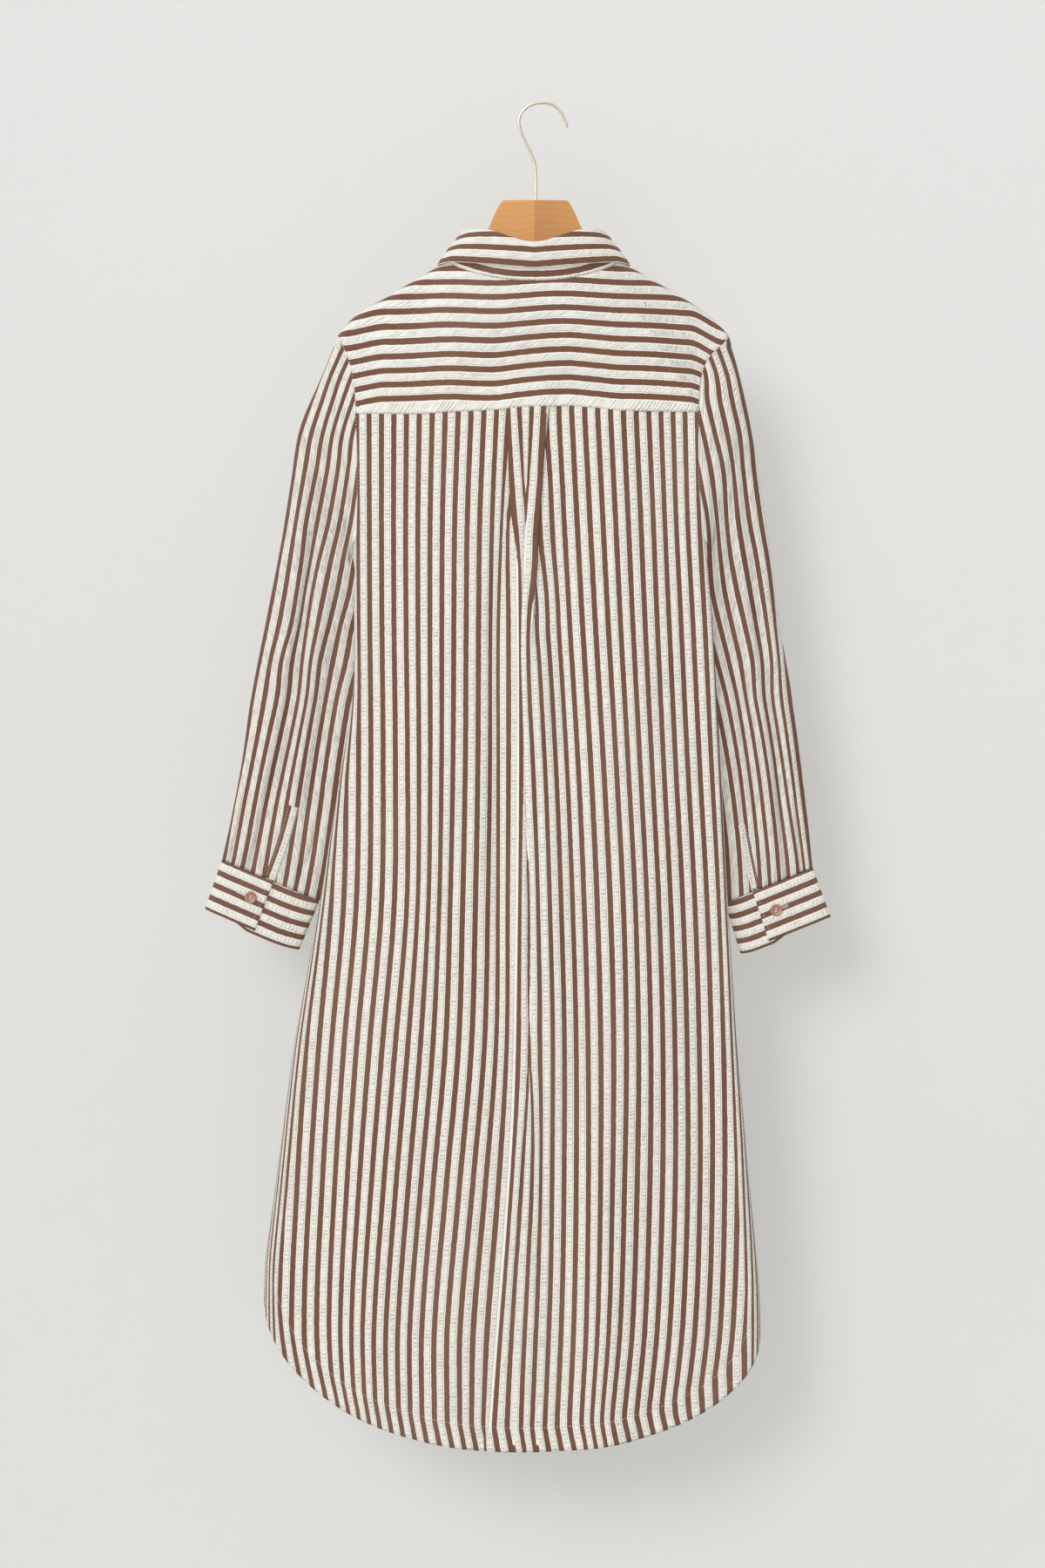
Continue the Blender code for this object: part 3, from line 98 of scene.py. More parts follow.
def curve(table, key, column):
    keys = np.array([row[0] for row in table], float)
    values = np.array([getattr(row, column) for row in table], float)
    slopes = np.empty_like(values)
    slopes[0] = (values[1] - values[0]) / (keys[1] - keys[0])
    slopes[-1] = (values[-1] - values[-2]) / (keys[-1] - keys[-2])
    slopes[1:-1] = (values[2:] - values[:-2]) / (keys[2:] - keys[:-2])
    key = np.clip(key, keys[0], keys[-1])
    i = np.clip(np.searchsorted(keys, key, side="right") - 1, 0, len(keys) - 2)
    span = keys[i + 1] - keys[i]
    t = (key - keys[i]) / span
    start = (1 + 2 * t) * (1 - t) ** 2 * values[i] + t * (1 - t) ** 2 * span * slopes[i]
    return start + t * t * (3 - 2 * t) * values[i + 1] + t * t * (t - 1) * span * slopes[i + 1]


def place(x, y, drop):
    """Points from their X, Y and drop, which may be single numbers or arrays."""
    x, y, drop = np.broadcast_arrays(np.asarray(x, float), y, drop)
    return np.stack([x, y, -drop], -1)


def unit(vectors):
    return vectors / np.maximum(np.linalg.norm(vectors, axis=-1, keepdims=True), 1e-9)


def power(value, exponent):
    return np.sign(value) * np.abs(value) ** exponent


# %% [markdown]
# ## The form of the body
#
# The dress hangs nearly flat. Its back and its front leave a rounded arch over the hanger's arms,
# come down a few centimetres apart and meet again in a soft fold at each side.

# %% Body
CLOTH = 0.75  # wall of a single layer
BAND = 1.3  # wall of collar, cuffs and button bands
SEAM = -0.7  # pieces overlap this much at their seams
CENTRE_X = -8.9
SHOULDER_TIP = 235.0  # drops
YOKE_SEAM = 310.0
UNDERARM = 445.0
HEM_BACK = 1358.0
HEM_FRONT = 1334.0
HEM_LEFT = 1199.0
HEM_RIGHT = 1240.0
HEM_MIDDLE = 0.53  # share of the width, from the left
HEM_ROUND = 2.1
ARCH = 10.0  # radius over the shoulders
SETTLE = 110.0  # drop below the arch in which the body comes to its full depth
EDGE_DEPTH = 16.0
BACK_DEPTHS = (28.0, 42.0)  # at the yoke seam and at the hem
FRONT_DEPTHS = (29.0, 42.0)
SIDE_FOLDS = (6.0, 11.0)
SIDE_WRAP = (58.0, 60.0)  # degrees that the side fold turns back at the armhole: back, front
FRONT_RAMP = 92.0
FRONT_LEVEL = 15.0  # depth of the front's edges beside the yoke
FRONT_INSET = 3.5
FRONT_LIFT = 1.0
FRONT_YOKE = 40.0  # reach of the yoke down the front

Edge = namedtuple("Edge", "drop left right")
SIDE_EDGES = (
    Edge(235, -207.0, 189.0),
    Edge(244, -204.0, 184.0),
    Edge(258, -199.0, 171.5),
    Edge(283, -195.0, 162.5),
    Edge(310, -192.0, 161.0),
    Edge(354, -189.8, 160.0),
    Edge(424, -189.2, 162.5),
    Edge(512, -190.0, 170.5),
    Edge(603, -192.0, 176.0),
    Edge(693, -206.5, 181.0),
    Edge(800, -223.5, 186.5),
    Edge(880, -237.5, 191.5),
    Edge(952, -250.5, 196.5),
    Edge(1093, -269.5, 209.0),
    Edge(1163, -279.0, 216.0),
    Edge(1199, -281.5, 219.0),
    Edge(1280, -284.0, 221.5),
)

Ridge = namedtuple("Ridge", "x drop")
SHOULDER = (
    Ridge(-216, 246.0),
    Ridge(-207, 235.0),
    Ridge(-200, 226.0),
    Ridge(-187, 213.0),
    Ridge(-161, 198.0),
    Ridge(-126, 177.0),
    Ridge(-106, 165.2),
    Ridge(-96.9, 160.8),
    Ridge(-55, 134.0),
    Ridge(-8.9, 106.0),
    Ridge(37, 134.0),
    Ridge(79.1, 160.8),
    Ridge(88.5, 165.4),
    Ridge(107, 175.8),
    Ridge(147, 199.8),
    Ridge(169, 214.7),
    Ridge(189, 235.0),
    Ridge(198, 246.0),
)

Fold = namedtuple("Fold", "name top top_x bottom bottom_x width height")
BACK_FOLDS = (  # a positive height stands out towards the back
    Fold("left_valley", 350, -44, 980, -46, 12, -7.0),
    Fold("right_valley", 420, 12, 820, 24, 13, -3.0),
    Fold("left_hem_ridge", 820, -70, 1400, -92, 26, 3.5),
    Fold("middle_hem_valley", 950, 14, 1400, 18, 20, -3.5),
    Fold("middle_hem_ridge", 950, 52, 1400, 60, 22, 3.5),
    Fold("right_hem_valley", 900, 104, 1400, 108, 28, -3.0),
    Fold("side_hem_ridge", 700, -160, 1400, -196, 30, 3.0),
)
FRONT_FOLDS = (
    Fold("left_drape", 420, -110, 1400, -150, 26, 5.0),
    Fold("left_hollow", 620, -66, 1400, -92, 22, -4.0),
    Fold("right_drape", 420, 84, 1400, 110, 26, 5.0),
    Fold("right_hollow", 640, 40, 1400, 58, 22, -4.0),
)


def side_edge(side, drop):
    return curve(SIDE_EDGES, drop, "left" if side < 0 else "right")


def ridge(x):
    return curve(SHOULDER, x, "drop")


def low(drop):
    """0 at the yoke seam and 1 at the hem."""
    return np.clip((drop - YOKE_SEAM) / (HEM_BACK - YOKE_SEAM), 0.0, 1.0)


def side_radius(drop):
    return mix(*SIDE_FOLDS, smooth((low(drop) - 0.35) / 0.65))


def folds(table, x, drop):
    total = 0.0
    for fold in table:
        t = np.maximum(0.0, (drop - fold.top) / (fold.bottom - fold.top))
        away = (x - mix(fold.top_x, fold.bottom_x, t)) / fold.width
        fade = smooth(t * 3.0) * (1.0 if fold.bottom > HEM_BACK else smooth((1.0 - t) * 3.0))
        total = total + fold.height * np.exp(-away * away) * fade
    return total


def arch(below):
    """Depth of the round over the shoulder at a drop below its ridge."""
    return np.sqrt(np.maximum(0.0, ARCH**2 - (ARCH - np.clip(below, 0.0, ARCH)) ** 2))


def settled(full, x, drop):
    return ARCH + (full - ARCH) * smooth((drop - ridge(x) - ARCH) / SETTLE)


def back_y(x, drop):
    left, right = side_edge(-1, drop), side_edge(1, drop)
    inward = 1.0 - np.abs(x - (left + right) / 2) / ((right - left) / 2)
    middle = mix(*BACK_DEPTHS, low(drop))
    full = EDGE_DEPTH + (middle - EDGE_DEPTH) * smooth(inward / 0.6)
    below = drop - ridge(x)
    hanging = -settled(full, x, drop) - folds(BACK_FOLDS, x, drop) * smooth(inward / 0.15)
    return np.where(below < ARCH, -arch(below), hanging)


def front_edge(side, drop):
    inset = FRONT_INSET * np.sin(np.pi * smooth((UNDERARM - drop) / (UNDERARM - SHOULDER_TIP)))
    return side_edge(side, drop) - side * inset


def front_y(x, drop):
    radius = side_radius(drop)
    left, right = front_edge(-1, drop) + radius, front_edge(1, drop) - radius
    inward = np.maximum(0.0, np.where(x < CENTRE_X, x - left, right - x))
    under = -EDGE_DEPTH + 2 * radius
    level = mix(FRONT_LEVEL, under, smooth((drop - YOKE_SEAM) / (UNDERARM - YOKE_SEAM)))
    full = level + (mix(*FRONT_DEPTHS, low(drop)) - level) * smooth(inward / FRONT_RAMP)
    below = drop - ridge(x)
    hanging = settled(full, x, drop) + folds(FRONT_FOLDS, x, drop) * smooth(inward / 30.0)
    return np.where(below < ARCH, arch(below), hanging)


def hem_drop(x, bottom):
    """Shirt-tail curve, level in the middle and upright at the side seams."""
    left, right = side_edge(-1, HEM_RIGHT), side_edge(1, HEM_RIGHT)
    across = np.clip((x - left) / (right - left), 0.0, 1.0)
    inner = across < HEM_MIDDLE
    side = np.where(inner, HEM_LEFT, HEM_RIGHT)
    away = np.where(inner, 1.0 - across / HEM_MIDDLE, (across - HEM_MIDDLE) / (1.0 - HEM_MIDDLE))
    return side + (bottom - side) * (1.0 - np.clip(away, 0, 1) ** HEM_ROUND) ** (1.0 / HEM_ROUND)


SEAM_LINE = (  # the yoke seam is drawn up a little over the pleat
    Ridge(-194, 315.4),
    Ridge(-126, 316.8),
    Ridge(-84, 314.8),
    Ridge(-47, 313.2),
    Ridge(-22, 310.8),
    Ridge(15, 309.6),
    Ridge(29, 309.4),
    Ridge(54, 311.3),
    Ridge(80, 313.6),
    Ridge(154, 314.0),
)


def seam_drop(x):
    return curve(SEAM_LINE, x, "drop")


def armhole_round(drop):
    t = np.clip((drop - YOKE_SEAM) / (UNDERARM - YOKE_SEAM), 0.0, 1.0)
    return np.sqrt(1.0 - t**4)


def back_side(side, drop, share):
    """The back round the side fold: share 0 is the flat back and 1 its seam with the front."""
    angle = np.radians(90.0 - SIDE_WRAP[0] * armhole_round(drop)) * share
    radius = side_radius(drop)
    flat = side_edge(side, drop) - side * radius
    y = back_y(flat, drop) + radius * (1 - np.cos(angle))
    return place(flat + side * radius * np.sin(angle), y, drop)


def front_side(side, drop, share):
    """The front round the side fold: share 0 leaves for the middle and 1 is the seam."""
    wrap = np.radians(90.0 + SIDE_WRAP[1] * armhole_round(drop))
    angle = math.pi - (math.pi - wrap) * share
    radius = side_radius(drop)
    flat = front_edge(side, drop) - side * radius
    lifted = FRONT_LIFT * smooth((drop - UNDERARM + 60.0) / 60.0) * smooth(share * 3.0)
    y = front_y(flat, drop) - radius * (1 + np.cos(angle)) + lifted
    return place(flat + side * radius * np.sin(angle), y, drop)


# %% [markdown]
# ## Neck, shoulders and armholes
#
# The yoke runs from the neck over both shoulders. `reach` is the distance over the ridge of the
# shoulder, positive to the back, so an X and a reach find any place on it.

# %% Shoulders
NECK_HALF = 88.0
NECK_BACK = (182.2, 24.0)  # drop and depth
NECK_SIDE = 160.8
NECK_FRONT = (239.5, 26.0)
NECK_CORNER = 60.0  # turn of the neck where the yoke's columns change from the armhole to the back
ARMHOLE_GAP = (-0.35, -0.3)  # as SEAM, on the back half and on the front half
FRONT_GAP = -0.5
YOKE_ON_TOP = 0.8
PLEAT_TOP = (-35.0, 5.5)
PLEAT_LIFT = 3.4
PLEAT_FADE = 14.0


def neck(turn):
    angle = np.radians(turn)
    x = CENTRE_X + NECK_HALF * np.sin(angle)
    behind = np.cos(angle) >= 0.0
    back_drop = NECK_BACK[0] - (NECK_BACK[0] - NECK_SIDE) * np.abs(np.sin(angle)) ** 2.3
    front_drop = NECK_SIDE + (NECK_FRONT[0] - NECK_SIDE) * np.cos(angle) ** 2
    y = -np.where(behind, NECK_BACK[1], NECK_FRONT[1]) * np.cos(angle)
    return place(x, y, np.where(behind, back_drop, front_drop))


def over_shoulder(x, reach):
    angle = np.abs(reach) / ARCH
    side = np.where(reach >= 0.0, 1.0, -1.0)
    on_top = angle <= math.pi / 2
    clipped = np.minimum(angle, math.pi / 2)
    below = np.where(on_top, ARCH * (1.0 - np.cos(clipped)), ARCH + np.abs(reach) - ARCH * math.pi / 2)
    drop = ridge(x) + below
    hanging = np.where(side > 0, back_y(x, drop), front_y(x, drop))
    return place(x, np.where(on_top, -side * ARCH * np.sin(clipped), hanging), drop)


def reach_of(x, drop, side):
    below = np.maximum(0.0, drop - ridge(x))
    near = ARCH * np.arccos(np.clip(1.0 - below / ARCH, -1.0, 1.0))
    return side * np.where(below <= ARCH, near, ARCH * math.pi / 2 + below - ARCH)


def neck_reach(turn):
    point = neck(turn)
    return reach_of(point[..., 0], -point[..., 2], np.where(np.abs(turn) <= 90.0, 1, -1))


NECK_TURNS = np.linspace(0.0, 175.0, 701)
NECK_REACHES = neck_reach(NECK_TURNS)


def neck_turn_at(reach):
    return np.interp(-reach, -NECK_REACHES, NECK_TURNS)


def front_corner(side):
    """Where the yoke's front seam meets the armhole."""
    high, deep = SHOULDER_TIP, YOKE_SEAM
    for _ in range(40):
        middle = (high + deep) / 2
        point = front_side(side, middle, 1.0)
        if reach_of(point[0], middle, -1) > -FRONT_YOKE:
            high = middle
        else:
            deep = middle
    return front_side(side, high, 1.0)


def back_corner(side):
    x = back_side(side, YOKE_SEAM, 1.0)[0]
    return back_side(side, seam_drop(x), 1.0)


CORNERS = {side: (back_corner(side), front_corner(side)) for side in (-1, 1)}


def armhole(side, turn):
    """The armhole seam: 0 at the shoulder tip, 180 degrees at the underarm, back first."""
    turn = np.asarray(turn, float) % 360.0
    drop = SHOULDER_TIP + (UNDERARM - SHOULDER_TIP) * (1.0 - np.cos(np.radians(turn))) / 2
    halves = []
    for corner, edge_x, flat_y, round_side, gap in (
        (CORNERS[side][0], side_edge, back_y, back_side, SEAM),
        (CORNERS[side][1], front_edge, front_y, front_side, FRONT_GAP),
    ):
        t = smooth((drop - SHOULDER_TIP) / (-corner[2] - SHOULDER_TIP))
        x = mix(edge_x(side, drop), corner[0], t)
        y = flat_y(x, drop) + (corner[1] - flat_y(corner[0], -corner[2])) * t
        above = (drop < gap - corner[2])[..., None]
        halves.append(np.where(above, place(x, y, drop), round_side(side, drop, 1.0)))
    return np.where((turn > 180.0)[..., None], halves[1], halves[0])


def corner_turn(corner):
    share = (-corner[2] - SHOULDER_TIP) / (UNDERARM - SHOULDER_TIP)
    return math.degrees(math.acos(1.0 - 2.0 * share))


def seam_lift(x):
    away = np.abs(x - sum(PLEAT_TOP) / 2) - (PLEAT_TOP[1] - PLEAT_TOP[0]) / 2
    return PLEAT_LIFT * (1.0 - smooth(away / PLEAT_FADE))


# %% [markdown]
# ## Sheets of cloth
#
# Every piece of cloth is a grid of computed points with its own flat pattern: the UV map holds
# the place of each point on the flat cloth, in metres, with U across the stripes and V along
# them. So one fabric material fits every piece, and its stripes run as the cloth was cut. A
# Solidify modifier gives the thin wall.

# %% Sheet builder
PITCH = 12.85  # from one brown stripe to the next
TAU = 2.0 * math.pi
WAVES = ((95.0, 1.0), (60.0, 0.8), (38.0, 0.55), (24.0, 0.35))  # lengths and shares of a rumple


def add_object(name, mesh, material):
    thing = new_object(name, mesh)
    mesh.materials.append(material)
    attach(thing, "root")
    return thing


def add_cloth(name, points, flat, wall, material, slot, flat_end=None, joined=0, flip=False):
    """A grid (rows, columns, 3) as a thin wall; flat is its place on the cloth in millimetres.

    flat_end replaces flat where a column closes the cell before it; the first joined rows
    close into rings."""
    rows, columns = points.shape[:2]
    flat_end = flat if flat_end is None else flat_end
    index = np.arange(rows * columns).reshape(rows, columns)
    index[:joined, -1] = index[:joined, 0]
    used, compact = np.unique(index, return_inverse=True)
    index = compact.reshape(rows, columns)
    quads = np.stack([index[:-1, :-1], index[:-1, 1:], index[1:, 1:], index[1:, :-1]], -1)
    cells = np.stack([flat[:-1, :-1], flat_end[:-1, 1:], flat_end[1:, 1:], flat[1:, :-1]], -2)
    quads, cells = quads.reshape(-1, 4), cells.reshape(-1, 4, 2)
    if flip:
        quads, cells = quads[:, ::-1], cells[:, ::-1]
    mesh = bpy.data.meshes.new(name)
    mesh.from_pydata((points.reshape(-1, 3)[used] * MM).tolist(), [], quads.tolist())
    layer = mesh.uv_layers.new(name="flat")
    layer.data.foreach_set("uv", (cells.reshape(-1) * MM).astype(np.float32))
    mesh.shade_smooth()
    sheet = add_object(name, mesh, material)
    solid = sheet.modifiers.new("wall", "SOLIDIFY")
    solid.thickness = wall * MM
    solid.offset = 0.0
    solid.use_quality_normals = True
    return sheet


def arc(points, axis):
    """Length along an axis of a grid, from its start."""
    steps = np.linalg.norm(np.diff(points, axis=axis), axis=-1)
    return np.concatenate([np.zeros_like(np.take(steps, [0], axis)), np.cumsum(steps, axis)], axis)


def from_end(points):
    """Minus the length down to the last row of a grid."""
    lengths = arc(points, 0)
    return lengths - lengths[-1:]


def rumple(x, drop, seed, size):
    """Slow unevenness of worn cloth, the same on every run."""
    rng = np.random.default_rng(seed)
    total = 0.0
    for wave, share in WAVES:
        for _ in range(3):
            tilt, phase = rng.uniform(-0.9, 0.9), rng.uniform(0.0, TAU)
            along = x * math.cos(tilt) + drop * 0.45 * math.sin(tilt)
            sway = 1.6 * np.sin(drop / (wave * rng.uniform(2.0, 3.5)) + phase)
            total = total + share * np.sin(TAU * along / wave + phase + sway)
    return size * total / 4.0


# %% [markdown]
# ## Seersucker
#
# Seersucker is woven with some warp threads slack, so bands of the cloth pucker while the ones
# between them stay flat. Here flat brown stripes stand between cream bands with a puckered
# middle, where the cloth gathers into a ladder of small crosswise rungs. The stripes, the rungs
# and the threads are one node group that reads the flat pattern. It only puts out colour,
# height and masks; each cloth material keeps its own shader.

# %% Node helpers


def new_group(name, inputs, outputs):
    group = bpy.data.node_groups.new(name, "ShaderNodeTree")
    for label, kind, default in inputs:
        socket = group.interface.new_socket(name=label, in_out="INPUT", socket_type="NodeSocket" + kind)
        if default is not None:
            socket.default_value = default
    for label, kind in outputs:
        group.interface.new_socket(name=label, in_out="OUTPUT", socket_type="NodeSocket" + kind)
    return group, group.nodes.new("NodeGroupInput"), group.nodes.new("NodeGroupOutput")


class Nodes:
    """Short ways to add and join nodes of one tree."""

    def __init__(self, tree):
        self.tree = tree

    def add(self, kind, settings=None, **inputs):
        node = self.tree.nodes.new("ShaderNode" + kind)
        for key, value in (settings or {}).items():
            setattr(node, key, value)
        for key, value in inputs.items():
            self.feed(node.inputs[key.replace("_", " ")], value)
        return node

    def feed(self, socket, value):
        if isinstance(value, bpy.types.NodeSocket):
            self.tree.links.new(value, socket)
        else:
            socket.default_value = value

    def math(self, operation, *values):
        node = self.tree.nodes.new("ShaderNodeMath")
        node.operation = operation
        for socket, value in zip(node.inputs, values):
            self.feed(socket, value)
        return node.outputs[0]

    def times(self, first, second):
        return self.math("MULTIPLY", first, second)

    def plus(self, first, second):
        return self.math("ADD", first, second)

    def minus(self, first, second):
        return self.math("SUBTRACT", first, second)

    def ramp(self, value, start, stop, low_value=0.0, high_value=1.0):
        node = self.tree.nodes.new("ShaderNodeMapRange")
        node.interpolation_type = "SMOOTHSTEP"
        for socket, item in zip(node.inputs, (value, start, stop, low_value, high_value)):
            self.feed(socket, item)
        return node.outputs[0]

    def colour(self, factor, first, second, blend="MIX"):
        node = self.tree.nodes.new("ShaderNodeMix")
        node.data_type = "RGBA"
        node.blend_type = blend
        for socket, item in zip((node.inputs[0], node.inputs[6], node.inputs[7]), (factor, first, second)):
            self.feed(socket, item)
        return node.outputs[2]

    def noise(self, vector, scale, detail=2.0, roughness=0.5, dimensions="3D"):
        node = self.add("TexNoise", {"noise_dimensions": dimensions}, Scale=scale, Detail=detail)
        node.inputs["Roughness"].default_value = roughness
        if vector is not None:
            self.feed(node.inputs["Vector"], vector)
        return node.outputs["Fac"]

    def streaks(self, across, along, stretch, detail, roughness=0.5):
        """Noise whose grains are drawn out: stretch is how fast it changes across and along."""
        at = self.add("CombineXYZ", X=self.times(across, stretch[0]), Y=self.times(along, stretch[1]))
        return self.noise(at.outputs[0], 1.0, detail, roughness)

    def relief(self, shader, height, strength, distance):
        """A Bump node, which tilts the light on a smooth face as if the height were there."""
        bump = self.add("Bump", Height=height, Strength=strength, Distance=distance)
        self.feed(shader.inputs["Normal"], bump.outputs[0])


def new_material(name):
    """A material with its shader, a helper for its nodes and the place on the object."""
    material = bpy.data.materials.new(name)
    material.use_nodes = True
    net = Nodes(material.node_tree)
    return material, material.node_tree.nodes["Principled BSDF"], net, net.add("TexCoord").outputs["Object"]


def mottle(net, shader, cloud, tones, rough):
    """Colour and roughness drift with a noise, so no finish looks printed."""
    net.feed(shader.inputs["Base Color"], net.colour(net.ramp(cloud, 0.3, 0.7), *tones))
    net.feed(shader.inputs["Roughness"], net.ramp(cloud, *rough))


# %% [markdown]
# The stripe masks come first. The pattern's U divided by the pitch counts the stripes, and the
# distance from the nearest whole number says whether a place is brown, cream or puckered. A slow
# noise moves the count a little, so no edge is ruler straight.

# %% Seersucker group
CREAM = (0.86, 0.825, 0.745, 1.0)
# the puckered cream and the hollow tone below are painted shade of the pucker's relief, not a different dye
CREAM_PUCKER_SHADED = (0.80, 0.78, 0.72, 1.0)
CREAM_SHADE = (0.60, 0.575, 0.51, 1.0)
BROWN = (0.136, 0.060, 0.037, 1.0)
BROWN_LIGHT = (0.245, 0.125, 0.085, 1.0)
RUNG = 4.1 * MM  # along the stripe from one rung of the pucker to the next
BROWN_EDGE = 0.022  # half the softness of a stripe's edge, as a share of the pitch
PUCKER_EDGE = (0.065, 0.115)  # from the stripe's edge to where the pucker starts and is full

group, entry, leave = new_group(
    "seersucker",
    (
        ("Flat", "Vector", None),
        ("Pitch", "Float", PITCH * MM),
        ("Brown width", "Float", 0.41),
        ("Pucker", "Float", 1.0),
    ),
    (("Color", "Color"), ("Height", "Float"), ("Brown", "Float"), ("Roughness", "Float")),
)
net = Nodes(group)
parts = net.add("SeparateXYZ", Vector=entry.outputs["Flat"])
across, along = parts.outputs[0], parts.outputs[1]
waver = net.streaks(across, along, (90.0, 170.0), 1.0)
count = net.math("DIVIDE", across, entry.outputs["Pitch"])
count = net.plus(count, net.times(net.minus(waver, 0.5), 0.07))
whole = net.math("FRACT", net.plus(count, 0.5))
away = net.math("ABSOLUTE", net.minus(whole, 0.5))
half = net.times(entry.outputs["Brown width"], 0.5)
brown = net.ramp(away, net.plus(half, BROWN_EDGE), net.minus(half, BROWN_EDGE))
band = net.ramp(away, *(net.plus(half, edge) for edge in PUCKER_EDGE))
print("stripe masks made")

# %% [markdown]
# The rungs are a sine along each stripe, whose start drifts from stripe to stripe, over a finer
# crimp. A product of two sines makes the threads of the weave.

# %% Pucker and threads
line = net.math("FLOOR", count)
drift = net.streaks(line, along, (7.3, 60.0), 1.0)
turn = net.plus(net.times(along, TAU / RUNG), net.times(drift, 15.0))
rung = net.math("SINE", net.plus(turn, net.times(line, 2.4)))
gather = net.ramp(net.streaks(across, along, (160.0, 75.0), 1.0), 0.3, 0.65, 0.35, 1.0)
crimp = net.streaks(across, along, (230.0, 430.0), 1.5, 0.55)
rung = net.times(net.times(rung, gather), 0.24)
crimp = net.plus(crimp, rung)
fine = net.streaks(across, along, (520.0, 900.0), 2.0)
THREAD = 0.42 * MM  # from one thread of the weave to the next
warp = net.math("SINE", net.times(across, TAU / THREAD))
weft = net.math("SINE", net.times(along, TAU / THREAD))
thread = net.times(warp, weft)
pucker = net.times(net.times(crimp, band), entry.outputs["Pucker"])
height = net.plus(pucker, net.times(thread, 0.03))
height = net.plus(height, net.times(fine, 0.06))
net.feed(leave.inputs["Height"], height)
net.feed(leave.inputs["Brown"], brown)
print("rung every", round(RUNG / MM, 1), "mm")

# %% [markdown]
# Cream is painted greyer over the puckered band and darker in the hollows of the pucker, a painted shade of
# its relief; brown is lighter where a thick thread lies.

# %% Cloth colours
# painted shade: the hollows of the pucker and the puckered band are darkened in the colour
hollow_shade = net.times(net.ramp(crimp, 0.55, 0.24), entry.outputs["Pucker"])
puckered = net.colour(net.times(hollow_shade, 0.6), CREAM_PUCKER_SHADED, CREAM_SHADE)
cream = net.colour(band, CREAM, puckered)
slub = net.ramp(fine, 0.35, 0.75)
brown_mix = net.colour(net.times(slub, 0.5), BROWN, BROWN_LIGHT)
cloth = net.colour(brown, cream, brown_mix)
speck = net.times(net.plus(thread, 1.0), 0.03)
cloth = net.colour(speck, cloth, (0.25, 0.18, 0.13, 1.0))
net.feed(leave.inputs["Color"], cloth)
net.feed(leave.inputs["Roughness"], net.ramp(fine, 0.2, 0.8, 0.78, 0.92))
print("seersucker group", len(group.nodes), "nodes")

# %% [markdown]
# ## Cloth materials
#
# Cotton is matt, with a little fuzz that catches light at the rim. Both cloth materials place the same
# group, and differ in how strongly they pucker:
# the yoke, collar and cuffs are double layers, pressed flatter.

# %% Cloth materials


WEAR = (0.55, 0.47, 0.38, 1.0)
BROWN_WIDTH = 0.435  # of a stripe, as a share of the pitch


def cloth_material(name, pucker, bump, sheen):
    material, shader, net, spot = new_material(name)
    flat = net.add("UVMap", {"uv_map": "flat"})
    weave = net.add("Group", {"node_tree": bpy.data.node_groups["seersucker"]}, Flat=flat.outputs[0])
    weave.inputs["Pucker"].default_value = pucker
    weave.inputs["Brown width"].default_value = BROWN_WIDTH
    uneven = net.ramp(net.noise(spot, 7.0, 3.0), 0.4, 0.7, 0.0, 0.05)
    net.feed(shader.inputs["Base Color"], net.colour(uneven, weave.outputs["Color"], WEAR))
    net.feed(shader.inputs["Roughness"], weave.outputs["Roughness"])
    net.relief(shader, weave.outputs["Height"], bump, 0.0012)
    shader.inputs["Specular IOR Level"].default_value = 0.18
    shader.inputs["Sheen Weight"].default_value = sheen
    shader.inputs["Sheen Roughness"].default_value = 0.45
    return material


lengthwise = cloth_material("seersucker_lengthwise", pucker=1.25, bump=1.1, sheen=0.06)
crosswise = cloth_material("seersucker_crosswise", pucker=1.1, bump=1.0, sheen=0.16)
print("cloth materials", lengthwise.name, crosswise.name)

# %% [markdown]
# ## Yoke
#
# A one-piece yoke: its stripes run crosswise and pass over the shoulders to the short front
# seams. The columns run from the neck out to the armholes and to the back seam.

# %% Yoke
YOKE_PITCH = 14.3
YOKE_FIRST_STRIPE = 183.0  # drop of the stripe next to the neck
YOKE_LINES = 46
YOKE_COLUMNS = (16, 28, 92)  # along the front of an armhole, along its back, and the back seam
YOKE_RUMPLE = (11, 0.35)  # seed and size
SWAYS = ((1.2, 31.0, 0.0), (0.8, 17.0, 1.0))  # of the stripes: height, length and start of a wave
OVER_ARCH = 5.7  # the way over the round of the shoulder is this much longer than its drop
CLIMBS = {-1: (7.0, 148.0, 45.0), 1: (15.0, 148.0, 38.0)}  # how far the stripes rise, from X, within
SEAM_DRAW = (0.75, 311.0)  # how closely the stripes follow the seam, and its plain drop
DRAWN_FROM = (190.0, 80.0)  # the drop where they start to follow it, and within what
LOWEST_FALL, CROWDED = 303.0, 0.7  # below this fall the stripes crowd together and clear the seam


def yoke_columns():
    """(turn of the neck, target) for each column, from the left front seam to the right one."""
    halves = []
    for side in (-1, 1):
        back, front = CORNERS[side]
        turns, targets = [side * neck_turn_at(-FRONT_YOKE)], [front]
        for turn in np.linspace(corner_turn(front), 0.0, YOKE_COLUMNS[0])[1:-1]:
            point = armhole(side, 360.0 - turn)
            turns.append(side * neck_turn_at(reach_of(point[0], -point[2], -1)))
            targets.append(point)
        for turn in np.linspace(0.0, corner_turn(back), YOKE_COLUMNS[1]):
            turns.append(side * mix(90.0, NECK_CORNER, turn / corner_turn(back)))
            targets.append(armhole(side, turn))
        targets[-1] = back
        halves.append((turns, targets))
    across = np.linspace(0.0, 1.0, YOKE_COLUMNS[2])[1:-1]
    x = mix(CORNERS[-1][0][0], CORNERS[1][0][0], across)
    seam = place(x, back_y(x, seam_drop(x)) - seam_lift(x) - YOKE_ON_TOP, seam_drop(x))
    turns = halves[0][0] + list(mix(-NECK_CORNER, NECK_CORNER, across)) + halves[1][0][::-1]
    targets = halves[0][1] + list(seam) + halves[1][1][::-1]
    return np.array(turns), np.array(targets)


